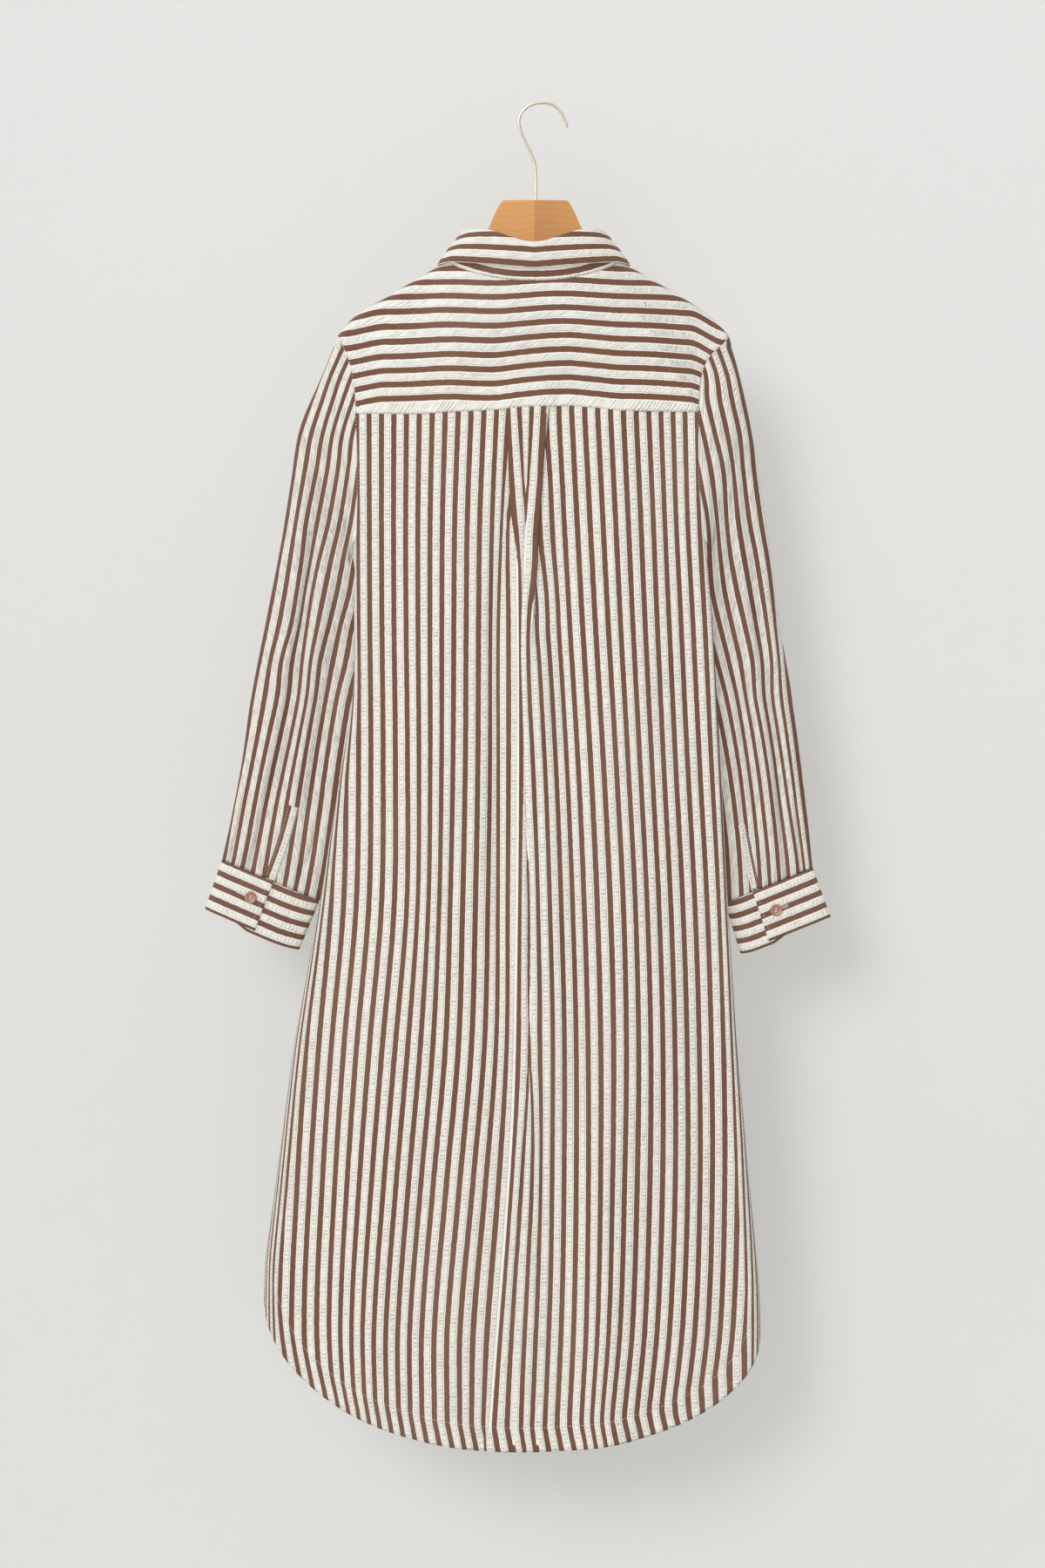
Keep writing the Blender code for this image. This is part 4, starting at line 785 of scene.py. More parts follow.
def yoke_lines(turns, targets, outs):
    """Points from the neck seam out to the targets, and their reach."""
    start, begin = neck(turns), neck_reach(turns)
    side = np.where(targets[:, 1] > 0.0, -1, 1)
    end = reach_of(targets[:, 0], -targets[:, 2], side)
    start_off = start - over_shoulder(start[:, 0], begin)
    end_off = targets - over_shoulder(targets[:, 0], end)
    out = np.asarray(outs)[:, None]
    x = mix(start[None, :, 0], targets[None, :, 0], out)
    reach = mix(begin[None], end[None], out)
    points = over_shoulder(x, reach)
    points = points + start_off[None] * (1.0 - smooth(out / 0.6))[..., None]
    return points + end_off[None] * smooth((out - 0.6) / 0.4)[..., None], reach


yoke_turns, yoke_targets = yoke_columns()
yoke, yoke_reach = yoke_lines(yoke_turns, yoke_targets, np.linspace(0.0, 1.0, YOKE_LINES))
yoke[1:-1, :, 1] -= rumple(yoke[1:-1, :, 0], -yoke[1:-1, :, 2], *YOKE_RUMPLE)
yoke_x, yoke_drop = yoke[..., 0], -yoke[..., 2]
fall = ridge(yoke_x) + yoke_reach - OVER_ARCH
for height, length, start in SWAYS:
    fall = fall + height * np.sin(yoke_x / length + start)
for out, (rise, start, within) in ((CENTRE_X - yoke_x, CLIMBS[-1]), (yoke_x, CLIMBS[1])):
    fall = fall - rise * smooth((out - start) / within)
near_seam = smooth((yoke_drop - DRAWN_FROM[0]) / DRAWN_FROM[1])
fall = fall + SEAM_DRAW[0] * (SEAM_DRAW[1] - seam_drop(yoke_x)) * near_seam
fall = fall - CROWDED * np.maximum(fall - LOWEST_FALL, 0.0)
across = (fall - YOKE_FIRST_STRIPE) / YOKE_PITCH * PITCH
yoke_flat = np.stack([across, arc(yoke, 1)], -1)
yoke_sheet = add_cloth("yoke_cloth", yoke, yoke_flat, CLOTH, crosswise, "cloth_crosswise")
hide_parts("yoke")
print("yoke", yoke.shape)

# %% [markdown]
# ## Back with its box pleat
#
# Under the yoke the pleat's face lies over a tuck on each side, and lower down its right half
# laps over its left half. Each lap is a row of named sizes: where its edge lies, and the numbers
# of the stripes that disappear under it and that start on it. Both sides of the back have guide
# stripes, so the cloth between two of them is squeezed or spread as it hangs.

# %% Back tables
Lap = namedtuple("Lap", "drop x under over")  # under and over are stripe numbers
LAP_LEFT = (
    Lap(310, -35.2, 11.85, 14.05),
    Lap(364, -33.9, 12.5, 13.95),
    Lap(389, -33.0, 12.9, 13.9),
    Lap(414, -31.7, 13.2, 13.85),
    Lap(438, -28.8, 13.55, 13.8),
    Lap(463, -26.4, 13.72, 13.78),
    Lap(480, -25.5, 13.75, 13.75),
    Lap(611, -24.6, 13.75, 13.75),
    Lap(832, -26.4, 13.75, 13.75),
    Lap(1005, -29.9, 13.75, 13.75),
    Lap(1128, -37.3, 13.75, 13.75),
    Lap(1276, -48.8, 13.75, 13.75),
    Lap(1357, -54.6, 13.75, 13.75),
)
LAP_MIDDLE = (
    Lap(310, -17.2, 15.45, 15.55),
    Lap(340, -17.1, 15.42, 15.58),
    Lap(364, -17.0, 15.38, 15.62),
    Lap(389, -17.0, 15.32, 15.68),
    Lap(414, -16.8, 14.95, 16.05),
    Lap(438, -17.3, 14.75, 16.22),
    Lap(463, -18.5, 14.55, 16.2),
    Lap(488, -19.5, 14.33, 16.25),
    Lap(512, -20.2, 14.2, 16.4),
    Lap(561, -20.9, 14.05, 16.4),
    Lap(611, -19.4, 14.15, 16.45),
    Lap(660, -18.0, 14.25, 16.35),
    Lap(709, -16.7, 14.4, 16.3),
    Lap(783, -15.0, 14.75, 16.1),
    Lap(882, -13.9, 14.86, 16.12),
    Lap(931, -13.5, 14.87, 16.13),
    Lap(971, -13.3, 15.2, 15.8),
    Lap(1005, -13.2, 15.32, 15.68),
    Lap(1054, -14.5, 15.42, 15.58),
    Lap(1128, -18.0, 15.45, 15.55),
    Lap(1177, -21.1, 15.5, 15.5),
    Lap(1276, -26.4, 15.5, 15.5),
    Lap(1357, -29.0, 15.5, 15.5),
)
LAP_RIGHT = (
    Lap(315, 5.3, 20.1, 17.35),
    Lap(340, 2.6, 19.85, 17.25),
    Lap(364, 0.4, 19.5, 17.15),
    Lap(389, -0.9, 19.25, 17.1),
    Lap(438, -4.8, 18.8, 17.15),
    Lap(463, -5.3, 18.55, 17.15),
    Lap(488, -7.0, 18.1, 17.2),
    Lap(512, -9.2, 17.72, 17.28),
    Lap(537, -10.1, 17.62, 17.38),
    Lap(561, -9.2, 17.54, 17.46),
    Lap(586, -7.9, 17.5, 17.5),
    Lap(611, -6.6, 17.5, 17.5),
    Lap(635, -5.3, 17.5, 17.5),
    Lap(709, -1.8, 17.5, 17.5),
    Lap(832, 1.8, 17.5, 17.5),
    Lap(931, 4.0, 17.5, 17.5),
    Lap(1054, 3.5, 17.5, 17.5),
    Lap(1177, 1.8, 17.5, 17.5),
    Lap(1276, -1.8, 17.5, 17.5),
    Lap(1357, -5.3, 17.5, 17.5),
)
Guides = namedtuple("Guides", "drop s0 s4 s8 s11 s12 s13 s21 s24 s28 s32")
BACK_STRIPES = (  # X of numbered stripes
    Guides(319, -187.6, -137.1, -84.9, -46.2, -35.2, -22.9, 16.3, 55.4, 107.1, 155.9),
    Guides(424, -187.0, -137.8, -88.3, -50.5, -40.5, -35.2, 21.5, 60.6, 111.5, 158.0),
    Guides(530, -186.5, -137.3, -89.2, -52.0, -44.9, -34.3, 27.2, 66.0, 115.5, 163.9),
    Guides(671, -185.5, -135.6, -90.1, -52.6, -44.9, -34.3, 35.6, 74.0, 121.9, 170.7),
    Guides(811, -187.7, -136.2, -93.0, -54.8, -44.9, -35.2, 41.6, 81.1, 128.9, 178.3),
    Guides(952, -199.8, -147.8, -97.5, -58.3, -46.6, -36.1, 45.4, 84.1, 133.1, 182.6),
    Guides(1093, -209.0, -159.5, -109.9, -70.2, -57.6, -44.4, 45.9, 81.9, 133.4, 183.7),
    Guides(1234, -214.5, -169.0, -121.1, -82.7, -69.5, -55.4, 43.7, 77.4, 127.8, 179.3),
    Guides(1322, -208.9, -167.6, -121.0, -82.9, -71.3, -59.0, 39.4, 69.3, 118.5, 168.3),
)


def between(x, knots):
    """Stripe number at x from rising (x, number) knots, carried on past both ends."""
    number = knots[0][1] + (x - knots[0][0]) / PITCH
    for (left, first), (right, second) in zip(knots, knots[1:]):
        t = (x - left) / np.maximum(right - left, 0.4)
        number = np.where(x > left, mix(first, second, np.clip(t, 0.0, 1.0)), number)
    last_x, last = knots[-1]
    return np.where(x > last_x, last + (x - last_x) / PITCH, number)


def stripe_left(x, drop):
    edge, under = curve(LAP_LEFT, drop, "x"), curve(LAP_LEFT, drop, "under")
    knots = [(curve(BACK_STRIPES, drop, f"s{number}"), number) for number in (0, 4, 8, 11)]
    for number, inset in ((12, 0.8), (13, 0.4)):
        guide = np.minimum(curve(BACK_STRIPES, drop, f"s{number}"), edge - inset)
        knots.append((guide, np.minimum(number, under - inset / 20.0)))
    return between(x, knots + [(edge, under)])


def stripe_right(x, drop):
    knots = [(curve(LAP_RIGHT, drop, "x"), curve(LAP_RIGHT, drop, "under"))]
    knots += [(curve(BACK_STRIPES, drop, f"s{number}"), number) for number in (21, 24, 28, 32)]
    return between(x, knots)


# %% [markdown]
# Each column of the back is a function of the drop: its X, how far it stands proud of the plain
# back, and its stripe. A lap is six columns that turn under its edge; where the lap closes they
# draw together into one soft line. The face between the laps is squeezed where it runs into the
# middle lap: its last two stripes keep their edges, and the cream between them takes up the rest.

# %% Back columns
LAP_STEP = 3.4  # height of a lap's edge over the layer below
FACE_FADE = 34.0
LAP_EDGE = 0.9  # the columns beside a lap start this far from its edge
Turn = namedtuple("Turn", "inward up rest share")
LAP_SHAPE = (  # how far under, how high, where it lies once the lap is closed, and its stripe
    Turn(0.50, 0.03, -0.9, 0.25),
    Turn(1.00, 0.25, -0.45, 0.50),
    Turn(0.50, 0.47, 0.0, 0.75),
    Turn(0.06, 0.58, 0.45, 0.97),
    Turn(-0.04, 0.92, 0.9, 1.0),
    Turn(0.06, 1.00, 1.3, 1.05),
)
SQUEEZE_DROPS = (310, 340, 364, 389, 414, 438, 931, 971, 1005, 1054, 1128)
SQUEEZE_WIDTHS = (9.0, 7.2, 5.4, 3.5, 1.5, 1.0, 1.0, 1.8, 4.0, 6.5, 8.3)
SQUEEZED = (14.78, 16.22)  # outer edges of the stripes on both sides of the middle lap
EVEN_STEPS = ((1.0, 420.0, 50.0), (-1.0, 905.0, 30.0), (1.0, 1110.0, 50.0))  # squeeze off, on, off


def lap_open(table, drop):
    return smooth(np.abs(curve(table, drop, "over") - curve(table, drop, "under")) / 0.5)


def base_lift(group, drop):
    """Height of the pleat's layers: 0 left panel, 1 face's left half, 2 its right half, 3 right panel."""
    first = LAP_STEP * lap_open(LAP_LEFT, drop)
    second = first + LAP_STEP * lap_open(LAP_MIDDLE, drop)
    third = second - LAP_STEP * lap_open(LAP_RIGHT, drop)
    return (0.0 * drop, first, second, third)[group]


def lap_columns(table, side, low_group, high_group):
    """Columns that turn under a lap's edge; side 1 opens to the left and -1 to the right."""
    columns = []
    for turned in LAP_SHAPE if side > 0 else LAP_SHAPE[::-1]:

        def column(drop, turned=turned):
            under, over = curve(table, drop, "under"), curve(table, drop, "over")
            hidden, opened = (over - under) * side, lap_open(table, drop)
            depth = np.maximum(hidden, 0.0) * PITCH / 2
            x = curve(table, drop, "x") + side * mix(turned.rest, turned.inward * depth, opened)
            lift = mix(base_lift(low_group, drop), base_lift(high_group, drop), turned.up)
            return x, lift, mix(under, over, turned.share)

        columns.append(column)
    return columns


def span_columns(first, second, group, count):
    """Columns of the pleat's face between two laps, squeezed where they run into its middle."""
    last = "under" if second is LAP_MIDDLE else "over"
    columns = []
    for t in np.linspace(0.0, 1.0, count + 2)[1:-1]:

        def column(drop, t=t):
            left, right = curve(first, drop, "x") + LAP_EDGE, curve(second, drop, "x") - LAP_EDGE
            squeezed = np.interp(drop, SQUEEZE_DROPS, SQUEEZE_WIDTHS) - LAP_EDGE
            start, stop = curve(first, drop, "over"), curve(second, drop, last)
            if second is LAP_MIDDLE:
                knot = (right - squeezed, np.minimum(SQUEEZED[0], stop - 0.03))
            else:
                knot = (left + squeezed, np.maximum(SQUEEZED[1], start + 0.03))
            x = mix(left, right, t)
            guided = between(x, [(left, start), knot, (right, stop)])
            even = sum(sign * smooth((drop - begin) / within) for sign, begin, within in EVEN_STEPS)
            number = mix(guided, mix(start, stop, t), even)
            return x, base_lift(group, drop) + 0.5 * math.sin(math.pi * t), number

        columns.append(column)
    return columns


pleat_columns = lap_columns(LAP_LEFT, 1, 0, 1) + span_columns(LAP_LEFT, LAP_MIDDLE, 1, 9)
pleat_columns += lap_columns(LAP_MIDDLE, 1, 1, 2) + span_columns(LAP_MIDDLE, LAP_RIGHT, 2, 11)
pleat_columns += lap_columns(LAP_RIGHT, -1, 3, 2)

# %% [markdown]
# The rows run from the yoke seam to the shirt-tail hem, so they follow the hem where it curves up
# to the side seams. The last centimetres are turned up twice and stitched: there the cloth is
# double and its edge curls a little.

# %% Back sheet
UPPER_ROWS, LOWER_ROWS = 28, 190
BACK_LEFT, BACK_RIGHT, SIDE_COLUMNS = 46, 44, 7
BACK_RUMPLE = (5, 0.9)  # seed and size
UPPER_SHARE = 0.15  # part of the rows' length that lies beside the armhole
HEM_DEPTH = 24.0
HEM_LEAN = 5.3  # the turn-up was stitched a little askew


def row_shares(upper, lower, share):
    """Row positions along the armhole, along the side seam and along a whole column."""
    first = np.linspace(0.0, 1.0, upper)
    second = np.linspace(0.0, 1.0, lower + 1)[1:]
    return first, second, np.concatenate([share * first, mix(share, 1.0, second)])


def seam_drops(side, top, first, second):
    stop = HEM_LEFT if side < 0 else HEM_RIGHT
    return np.concatenate([mix(top, UNDERARM, first), mix(UNDERARM, stop, second)])


def low_x(side, share):
    """X at the hem of a column of the side fold."""
    return side_edge(side, HEM_RIGHT) - side * SIDE_FOLDS[1] * (1.0 - math.sin(share * math.pi / 2))


first_rows, second_rows, fraction = row_shares(UPPER_ROWS, LOWER_ROWS, UPPER_SHARE)


def hem_curl(drop, hem):
    """The turned-up hem: a faint step at the stitch line and an edge that kicks out."""
    up = hem - drop
    return 0.35 * smooth((HEM_DEPTH - up) / 3.0) + 1.3 * smooth((12.0 - up) / 12.0) ** 2


def back_side_columns(side):
    top = SEAM - CORNERS[side][0][2]
    columns = [back_side(side, seam_drops(side, top, first_rows, second_rows), 1.0)]
    for m in range(1, SIDE_COLUMNS + 1):
        share = 1.0 - m / SIDE_COLUMNS
        drop = mix(top, hem_drop(low_x(side, share), HEM_BACK), fraction)
        columns.append(back_side(side, drop, share))
    return columns


def back_flat_columns(side, count):
    table = LAP_LEFT if side < 0 else LAP_RIGHT
    columns = []
    for m in range(1, count):
        t = m / count
        high = mix(side_edge(side, YOKE_SEAM) - side * SIDE_FOLDS[0], curve(table, YOKE_SEAM, "x"), t)
        deep = mix(low_x(side, 0.0), curve(table, HEM_BACK, "x"), t)
        hem = hem_drop(deep, HEM_BACK)
        drop = mix(seam_drop(high) + SEAM, hem, fraction)
        edge = side_edge(side, drop) - side * side_radius(drop)
        lap_x = curve(table, drop, "x")
        x = mix(edge, lap_x + side * LAP_EDGE, t)
        lift = base_lift(3, drop) * (1.0 - smooth((x - lap_x) / FACE_FADE)) if side > 0 else 0.0
        y = back_y(x, drop) - lift - rumple(x, drop, *BACK_RUMPLE) * smooth(t * 6.0) - hem_curl(drop, hem)
        columns.append((place(x, y, drop), stripe_left(x, drop) if side < 0 else stripe_right(x, drop)))
    return columns


def pleat_sheet_column(column):
    high = column(np.array(YOKE_SEAM))[0]
    deep = column(np.array(HEM_BACK))[0]
    hem = hem_drop(deep, HEM_BACK)
    drop = mix(seam_drop(high) + SEAM, hem, fraction)
    x, lift, number = column(drop)
    y = back_y(x, drop) - lift - rumple(x, drop, *BACK_RUMPLE) - hem_curl(drop, hem)
    return place(x, y, drop), number


left_flat, right_flat = back_flat_columns(-1, BACK_LEFT), back_flat_columns(1, BACK_RIGHT)[::-1]
middle = [pleat_sheet_column(column) for column in pleat_columns]
left_side, right_side = back_side_columns(-1), back_side_columns(1)[::-1]
flat_part = left_flat + middle + right_flat
back = np.stack(left_side + [points for points, _ in flat_part] + right_side, 1)
numbers = np.stack([number for _, number in flat_part], 1) * PITCH
lengths = arc(back, 1)
turned = len(left_side)
left_numbers = numbers[:, :1] - (lengths[:, turned : turned + 1] - lengths[:, :turned])
right_numbers = numbers[:, -1:] + (lengths[:, -turned:] - lengths[:, -turned - 1 : -turned])
back_across = np.concatenate([left_numbers, numbers, right_numbers], 1)


def above_hem(grid):
    """Distance of each point from the hem's edge, square to the edge."""
    edge = grid[-1]
    run = np.gradient(edge[:, 0])
    slope = np.clip(np.gradient(-edge[:, 2]) / np.where(np.abs(run) < 0.05, 0.05, run), -3.0, 3.0)
    return (grid[..., 2] - edge[None, :, 2]) / np.sqrt(1.0 + slope**2)[None]


back_up = above_hem(back)
back_across = back_across - HEM_LEAN * np.clip(1.0 - back_up / HEM_DEPTH, 0.0, 1.0)
back_flat = np.stack([back_across, -back[..., 2]], -1)
back_sheet = add_cloth("back_cloth", back, back_flat, CLOTH, lengthwise, "cloth_lengthwise")
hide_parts("back_panel")
print("back", back.shape)

# %% [markdown]
# ## Fronts and button bands
#
# The fronts hang on the far side. Their stripes run parallel to the button bands and run out at
# the side seams, as on any straight-cut front.

# %% Fronts
PLACKET_HALF = 15.0
PLACKET_STEP = 0.9  # half the way from one button band to the other
FRONT_COLUMNS = 44
FRONT_NECK = 12
FRONT_SIDE = 6
FRONT_ROWS = (26, 120, 0.20)  # beside the armhole, below it, and the armhole's share
FRONT_FIRST = 2.1  # stripe number at the button band
FRONT_RUMPLE = (21, 0.8)  # seed, plus the side's sign, and size


def neck_front_point(x):
    turn = 180.0 - np.degrees(np.arcsin(np.clip((x - CENTRE_X) / NECK_HALF, -1.0, 1.0)))
    return neck(turn)


def front_top(side):
    """Upper edge of a front: below the yoke's front seam, then along the neck."""
    _, front = CORNERS[side]
    outs = np.linspace(0.0, 1.0, FRONT_COLUMNS - FRONT_NECK)
    line, _ = yoke_lines(np.array([side * neck_turn_at(-FRONT_YOKE)]), front[None], outs)
    line = line[:, 0]
    line[:, 2] -= FRONT_GAP * (1.0 + 0.4 * outs**3)
    seam = line[::-1].copy()
    seam[0, 0] = seam[0, 0] - side * SIDE_FOLDS[0] / 2
    x = np.linspace(seam[-1, 0], CENTRE_X + side * (PLACKET_HALF + SEAM), FRONT_NECK + 1)[1:]
    return np.concatenate([seam, neck_front_point(x)]), len(seam) - 1


def front_layer(x, drop):
    side = np.where(x < CENTRE_X, -1, 1)
    near = 1.0 - smooth((np.abs(x - CENTRE_X) - PLACKET_HALF) / 45.0)
    return front_y(x, drop) + side * PLACKET_STEP * near


def front_grid(side):
    top, corner_index = front_top(side)
    corner = CORNERS[side][1] - np.array([0.0, 0.0, FRONT_GAP])
    upper, lower, shares = row_shares(*FRONT_ROWS)
    columns = []
    for m in range(FRONT_SIDE):
        share = 1.0 - m / FRONT_SIDE
        start = mix(corner, top[0], m / FRONT_SIDE)
        if m == 0:
            columns.append(front_side(side, seam_drops(side, -start[2], upper, lower), 1.0))
            continue
        drop = mix(-start[2], hem_drop(low_x(side, share), HEM_FRONT), shares)
        columns.append(front_side(side, drop, share))
    low_start, low_stop = low_x(side, 0.0), CENTRE_X + side * (PLACKET_HALF + SEAM)
    for m, high in enumerate(top):
        t = m / (len(top) - 1)
        hem = hem_drop(mix(low_start, low_stop, t), HEM_FRONT)
        drop = mix(-high[2], hem, shares)
        start = front_edge(side, drop) - side * side_radius(drop)
        x = start if m == 0 else mix(high[0], mix(start, low_stop, t), smooth(shares / 0.08))
        slack = smooth(t * 5.0) * smooth((1.0 - t) * 8.0)
        y = front_layer(x, drop) + rumple(x, drop, FRONT_RUMPLE[0] + side, FRONT_RUMPLE[1]) * slack
        if m > corner_index:
            y = y + (high[1] - front_y(high[0], -high[2])) * (1.0 - smooth(shares / 0.1))
        columns.append(place(x, y + hem_curl(drop, hem), drop))
    return np.stack(columns, 1)


fronts = {}
for side, name in SIDES:
    grid = front_grid(side)
    lengths = arc(grid, 1)
    flat = np.stack([side * (FRONT_FIRST * PITCH + lengths[:, -1:] - lengths), -grid[..., 2]], -1)
    sheet = add_cloth(f"front_{name}_cloth", grid, flat, CLOTH, lengthwise, "cloth_lengthwise")
    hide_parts(f"front_{name}")
    fronts[side] = (grid, sheet)
    print("front", name, grid.shape)


# %% [markdown]
# The two button bands lie over each other in the middle of the front. Each is a strip of doubled
# cloth that follows the front from the neck to the hem, half a step in or out.

# %% Button bands
def band_y(x, drop, layer):
    top = neck_front_point(x)
    share = (drop + top[..., 2]) / (HEM_FRONT + top[..., 2])
    bulge = (top[..., 1] - front_y(x, -top[..., 2])) * (1.0 - smooth(share / 0.1))
    return front_y(x, drop) + layer * PLACKET_STEP + bulge


def band_grid(layer):
    down = np.linspace(0.0, 1.0, 130)[:, None]
    x = CENTRE_X + np.linspace(-PLACKET_HALF, PLACKET_HALF, 9)[None, :] + 0.0 * down
    drop = mix(-neck_front_point(x)[..., 2], hem_drop(x, HEM_FRONT), down)
    return place(x, band_y(x, drop, layer), drop)


bands = {}
for layer, name in SIDES:
    grid = band_grid(layer)
    flat = np.stack([grid[..., 0] - CENTRE_X, -grid[..., 2]], -1)
    band = add_cloth(f"button_band_{name}", grid, flat, BAND, lengthwise, "cloth_lengthwise")
    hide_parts(f"placket_{name}")
    bands[layer] = (grid, band)
    print("button band", name, grid.shape)

# %% [markdown]
# ## Collar
#
# A shirt collar is two pieces: an upright stand round the neck and a fall that turns down over
# it. Both are cut crosswise, so their stripes run round the neck.

# %% Collar
STAND_TOP = (147.2, 132.0, 209.5)  # drops at the back, the sides and the front
STAND_TOP_HALF = 70.0
STAND_TOP_BACK = 26.0
STAND_TOP_FRONT = 33.0
NECK_STEP = 360.0 / 28
STAND_REACH = 15 * NECK_STEP  # turn of the neck from the back to the end of the stand
FALL_REACH = 13 * NECK_STEP
FALL_HALF = 97.0
FALL_BACK = (170.7, 30.5)
FALL_SIDE = 163.4
FALL_POINT = 277.0
POINT_HALF = 50.0
FALL_DIP = 2.4  # the lower edge sags this much at the sides of the neck
COLLAR_PITCH = 14.4
COLLAR_COLUMNS, STAND_ROWS, FALL_ROWS = 180, 12, 26
STAND_STRIPE, FALL_STRIPE = 6.5, 3.6  # from the lower edge to the first brown stripe


def collar_top(turn):
    angle = np.radians(turn)
    behind = np.cos(angle) >= 0.0
    depth = np.where(behind, STAND_TOP_BACK, STAND_TOP_FRONT)
    back_drop = mix(STAND_TOP[1], STAND_TOP[0], np.abs(np.cos(angle)) ** 7)
    front_drop = mix(STAND_TOP[1], STAND_TOP[2], np.cos(angle) ** 2)
    x = CENTRE_X + STAND_TOP_HALF * np.sin(angle)
    return place(x, -depth * np.cos(angle), np.where(behind, back_drop, front_drop))


def collar_base(turn):
    point = neck(turn)
    along = unit(neck(turn + 2.0) - neck(turn - 2.0))
    up = collar_top(turn) - point
    up = unit(up - along * np.sum(up * along, -1, keepdims=True))
    return point - up * 0.3 + outward(turn) * 0.5


def outward(turn):
    angle = np.radians(turn)
    return unit(np.stack([np.sin(angle), -1.6 * np.cos(angle), 0.0 * angle], -1))


def stand_grid():
    turn = np.linspace(-STAND_REACH, STAND_REACH, COLLAR_COLUMNS)[None, :]
    up = np.linspace(0.0, 1.0, STAND_ROWS)[:, None]
    lap = smooth((np.abs(turn) - 140.0) / 26.0) * np.sign(turn)
    out = lap + 1.3 * np.sin(math.pi * up)
    base, top = collar_base(turn), collar_top(turn)
    return mix(base, top, up[..., None]) + outward(turn) * out[..., None]


def fall_edge(turn):
    angle = np.radians(turn)
    side = np.where(turn >= 0.0, 1.0, -1.0)
    s = np.abs(np.sin(angle))
    back_drop = mix(FALL_BACK[0], FALL_SIDE - FALL_DIP, s**1.1) + FALL_DIP * smooth((s - 0.86) / 0.14)
    back = place(CENTRE_X + FALL_HALF * np.sin(angle), -FALL_BACK[1] * np.cos(angle), back_drop)
    t = np.clip((np.abs(turn) - 90.0) / (FALL_REACH - 90.0), 0.0, 1.0)
    x = CENTRE_X + side * mix(POINT_HALF, FALL_HALF, np.cos(t * math.pi / 2))
    drop = FALL_SIDE + (FALL_POINT - FALL_SIDE) * t**1.25
    front = place(x, 33.0 * np.sin(t * math.pi / 2) + 5.0 * t, drop)
    return np.where((np.abs(turn) <= 90.0)[..., None], back, front)


Turnover = namedtuple("Turnover", "row down up out")
FALL_SHAPE = (
    Turnover(0, 0.0, 1.8, 0.0),
    Turnover(1, 0.0, 2.7, 1.8),
    Turnover(2, 0.04, 1.2, 3.2),
    Turnover(3, 0.25, 0.0, 3.6),
    Turnover(4, 0.5, 0.0, 3.2),
    Turnover(5, 0.75, 0.0, 2.2),
    Turnover(6, 1.0, 0.0, 0.6),
)


def fall_grid():
    turn = np.linspace(-FALL_REACH, FALL_REACH, COLLAR_COLUMNS)[None, :]
    row = np.linspace(0.0, FALL_SHAPE[-1].row, FALL_ROWS)[:, None]
    slope = collar_top(turn + 2.0) - collar_top(turn - 2.0)
    flat = np.hypot(slope[..., 0], slope[..., 1])
    steep = np.minimum(1.6, np.linalg.norm(slope, axis=-1) / np.maximum(flat, 0.01))
    points = mix(collar_top(turn), fall_edge(turn), curve(FALL_SHAPE, row, "down")[..., None])
    points = points + outward(turn) * curve(FALL_SHAPE, row, "out")[..., None]
    points[..., 2] += curve(FALL_SHAPE, row, "up") * steep
    return points


stand = stand_grid()
stand_flat = np.stack([(arc(stand, 0) - STAND_STRIPE) / COLLAR_PITCH * PITCH, arc(stand, 1)], -1)
stand_sheet = add_cloth("collar_stand_cloth", stand, stand_flat, BAND, crosswise, "cloth_crosswise")
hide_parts("collar_stand")
fall = fall_grid()
fall_flat = np.stack([(from_end(fall) + FALL_STRIPE) / COLLAR_PITCH * PITCH, arc(fall, 1)], -1)
fall_sheet = add_cloth("collar_fall_cloth", fall, fall_flat, BAND, crosswise, "cloth_crosswise")
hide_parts("collar_fall")
print("collar", stand.shape, fall.shape)

# %% [markdown]
# ## Sleeves
#
# Each sleeve is a flattened tube that leaves the armhole and hangs by the side. Creases run down
# its back, and its stripes lean with it; guide stripes again say where they lie.

# %% Sleeve tables
CUFF_DEPTH = 9.0
CUFF_MIDDLE = 12.0
CUFF_LAP = 22.0  # degrees
CUFF_STEP = 0.95  # height of the end that lies on top
CUFF_SHIFT = 0.075  # the end that lies below is buttoned this much lower
CUFF_BLEND = 18.0  # degrees in which one layer of the cuff leaves the other
SLIT_OPEN = 0.9
SLIT_START = 0.88  # along the sleeve
BINDING_WIDTH = 8.0
POUCH = (4.5, 0.32)  # how far the underarm stands out, and how far along
SLEEVE_HEAD = 0.165  # along the sleeve, where the armhole's shape has gone
SLEEVE_GAPS = (0.9, 2.5)  # between sleeve and body, at the armhole and below
RING_ROUND = (0.9, 0.75)  # below 1, the flattened ring is fuller than an ellipse

Ring = namedtuple("Ring", "along outer_x outer_drop inner_x inner_drop middle_y depth")
SLEEVES = {}
SLEEVES[-1] = (
    Ring(0.00, -207.0, 235.0, -189.3, 445.0, 2.0, 15.0),
    Ring(0.10, -221.5, 271.0, -189.0, 461.0, 5.0, 14.5),
    Ring(0.22, -246.0, 327.0, -183.0, 484.0, 10.0, 14.0),
    Ring(0.34, -256.0, 384.0, -176.0, 510.0, 14.0, 14.0),
    Ring(0.46, -266.0, 445.0, -172.5, 542.0, 16.0, 14.0),
    Ring(0.58, -279.0, 512.0, -172.0, 578.0, 16.5, 14.0),
    Ring(0.72, -296.5, 602.0, -176.0, 642.0, 16.5, 14.0),
    Ring(0.84, -306.0, 668.0, -189.0, 706.0, 16.0, 14.0),
    Ring(0.93, -317.0, 727.0, -206.0, 762.0, 14.0, 12.5),
    Ring(1.00, -325.6, 766.5, -227.4, 807.8, CUFF_MIDDLE, CUFF_DEPTH),
)
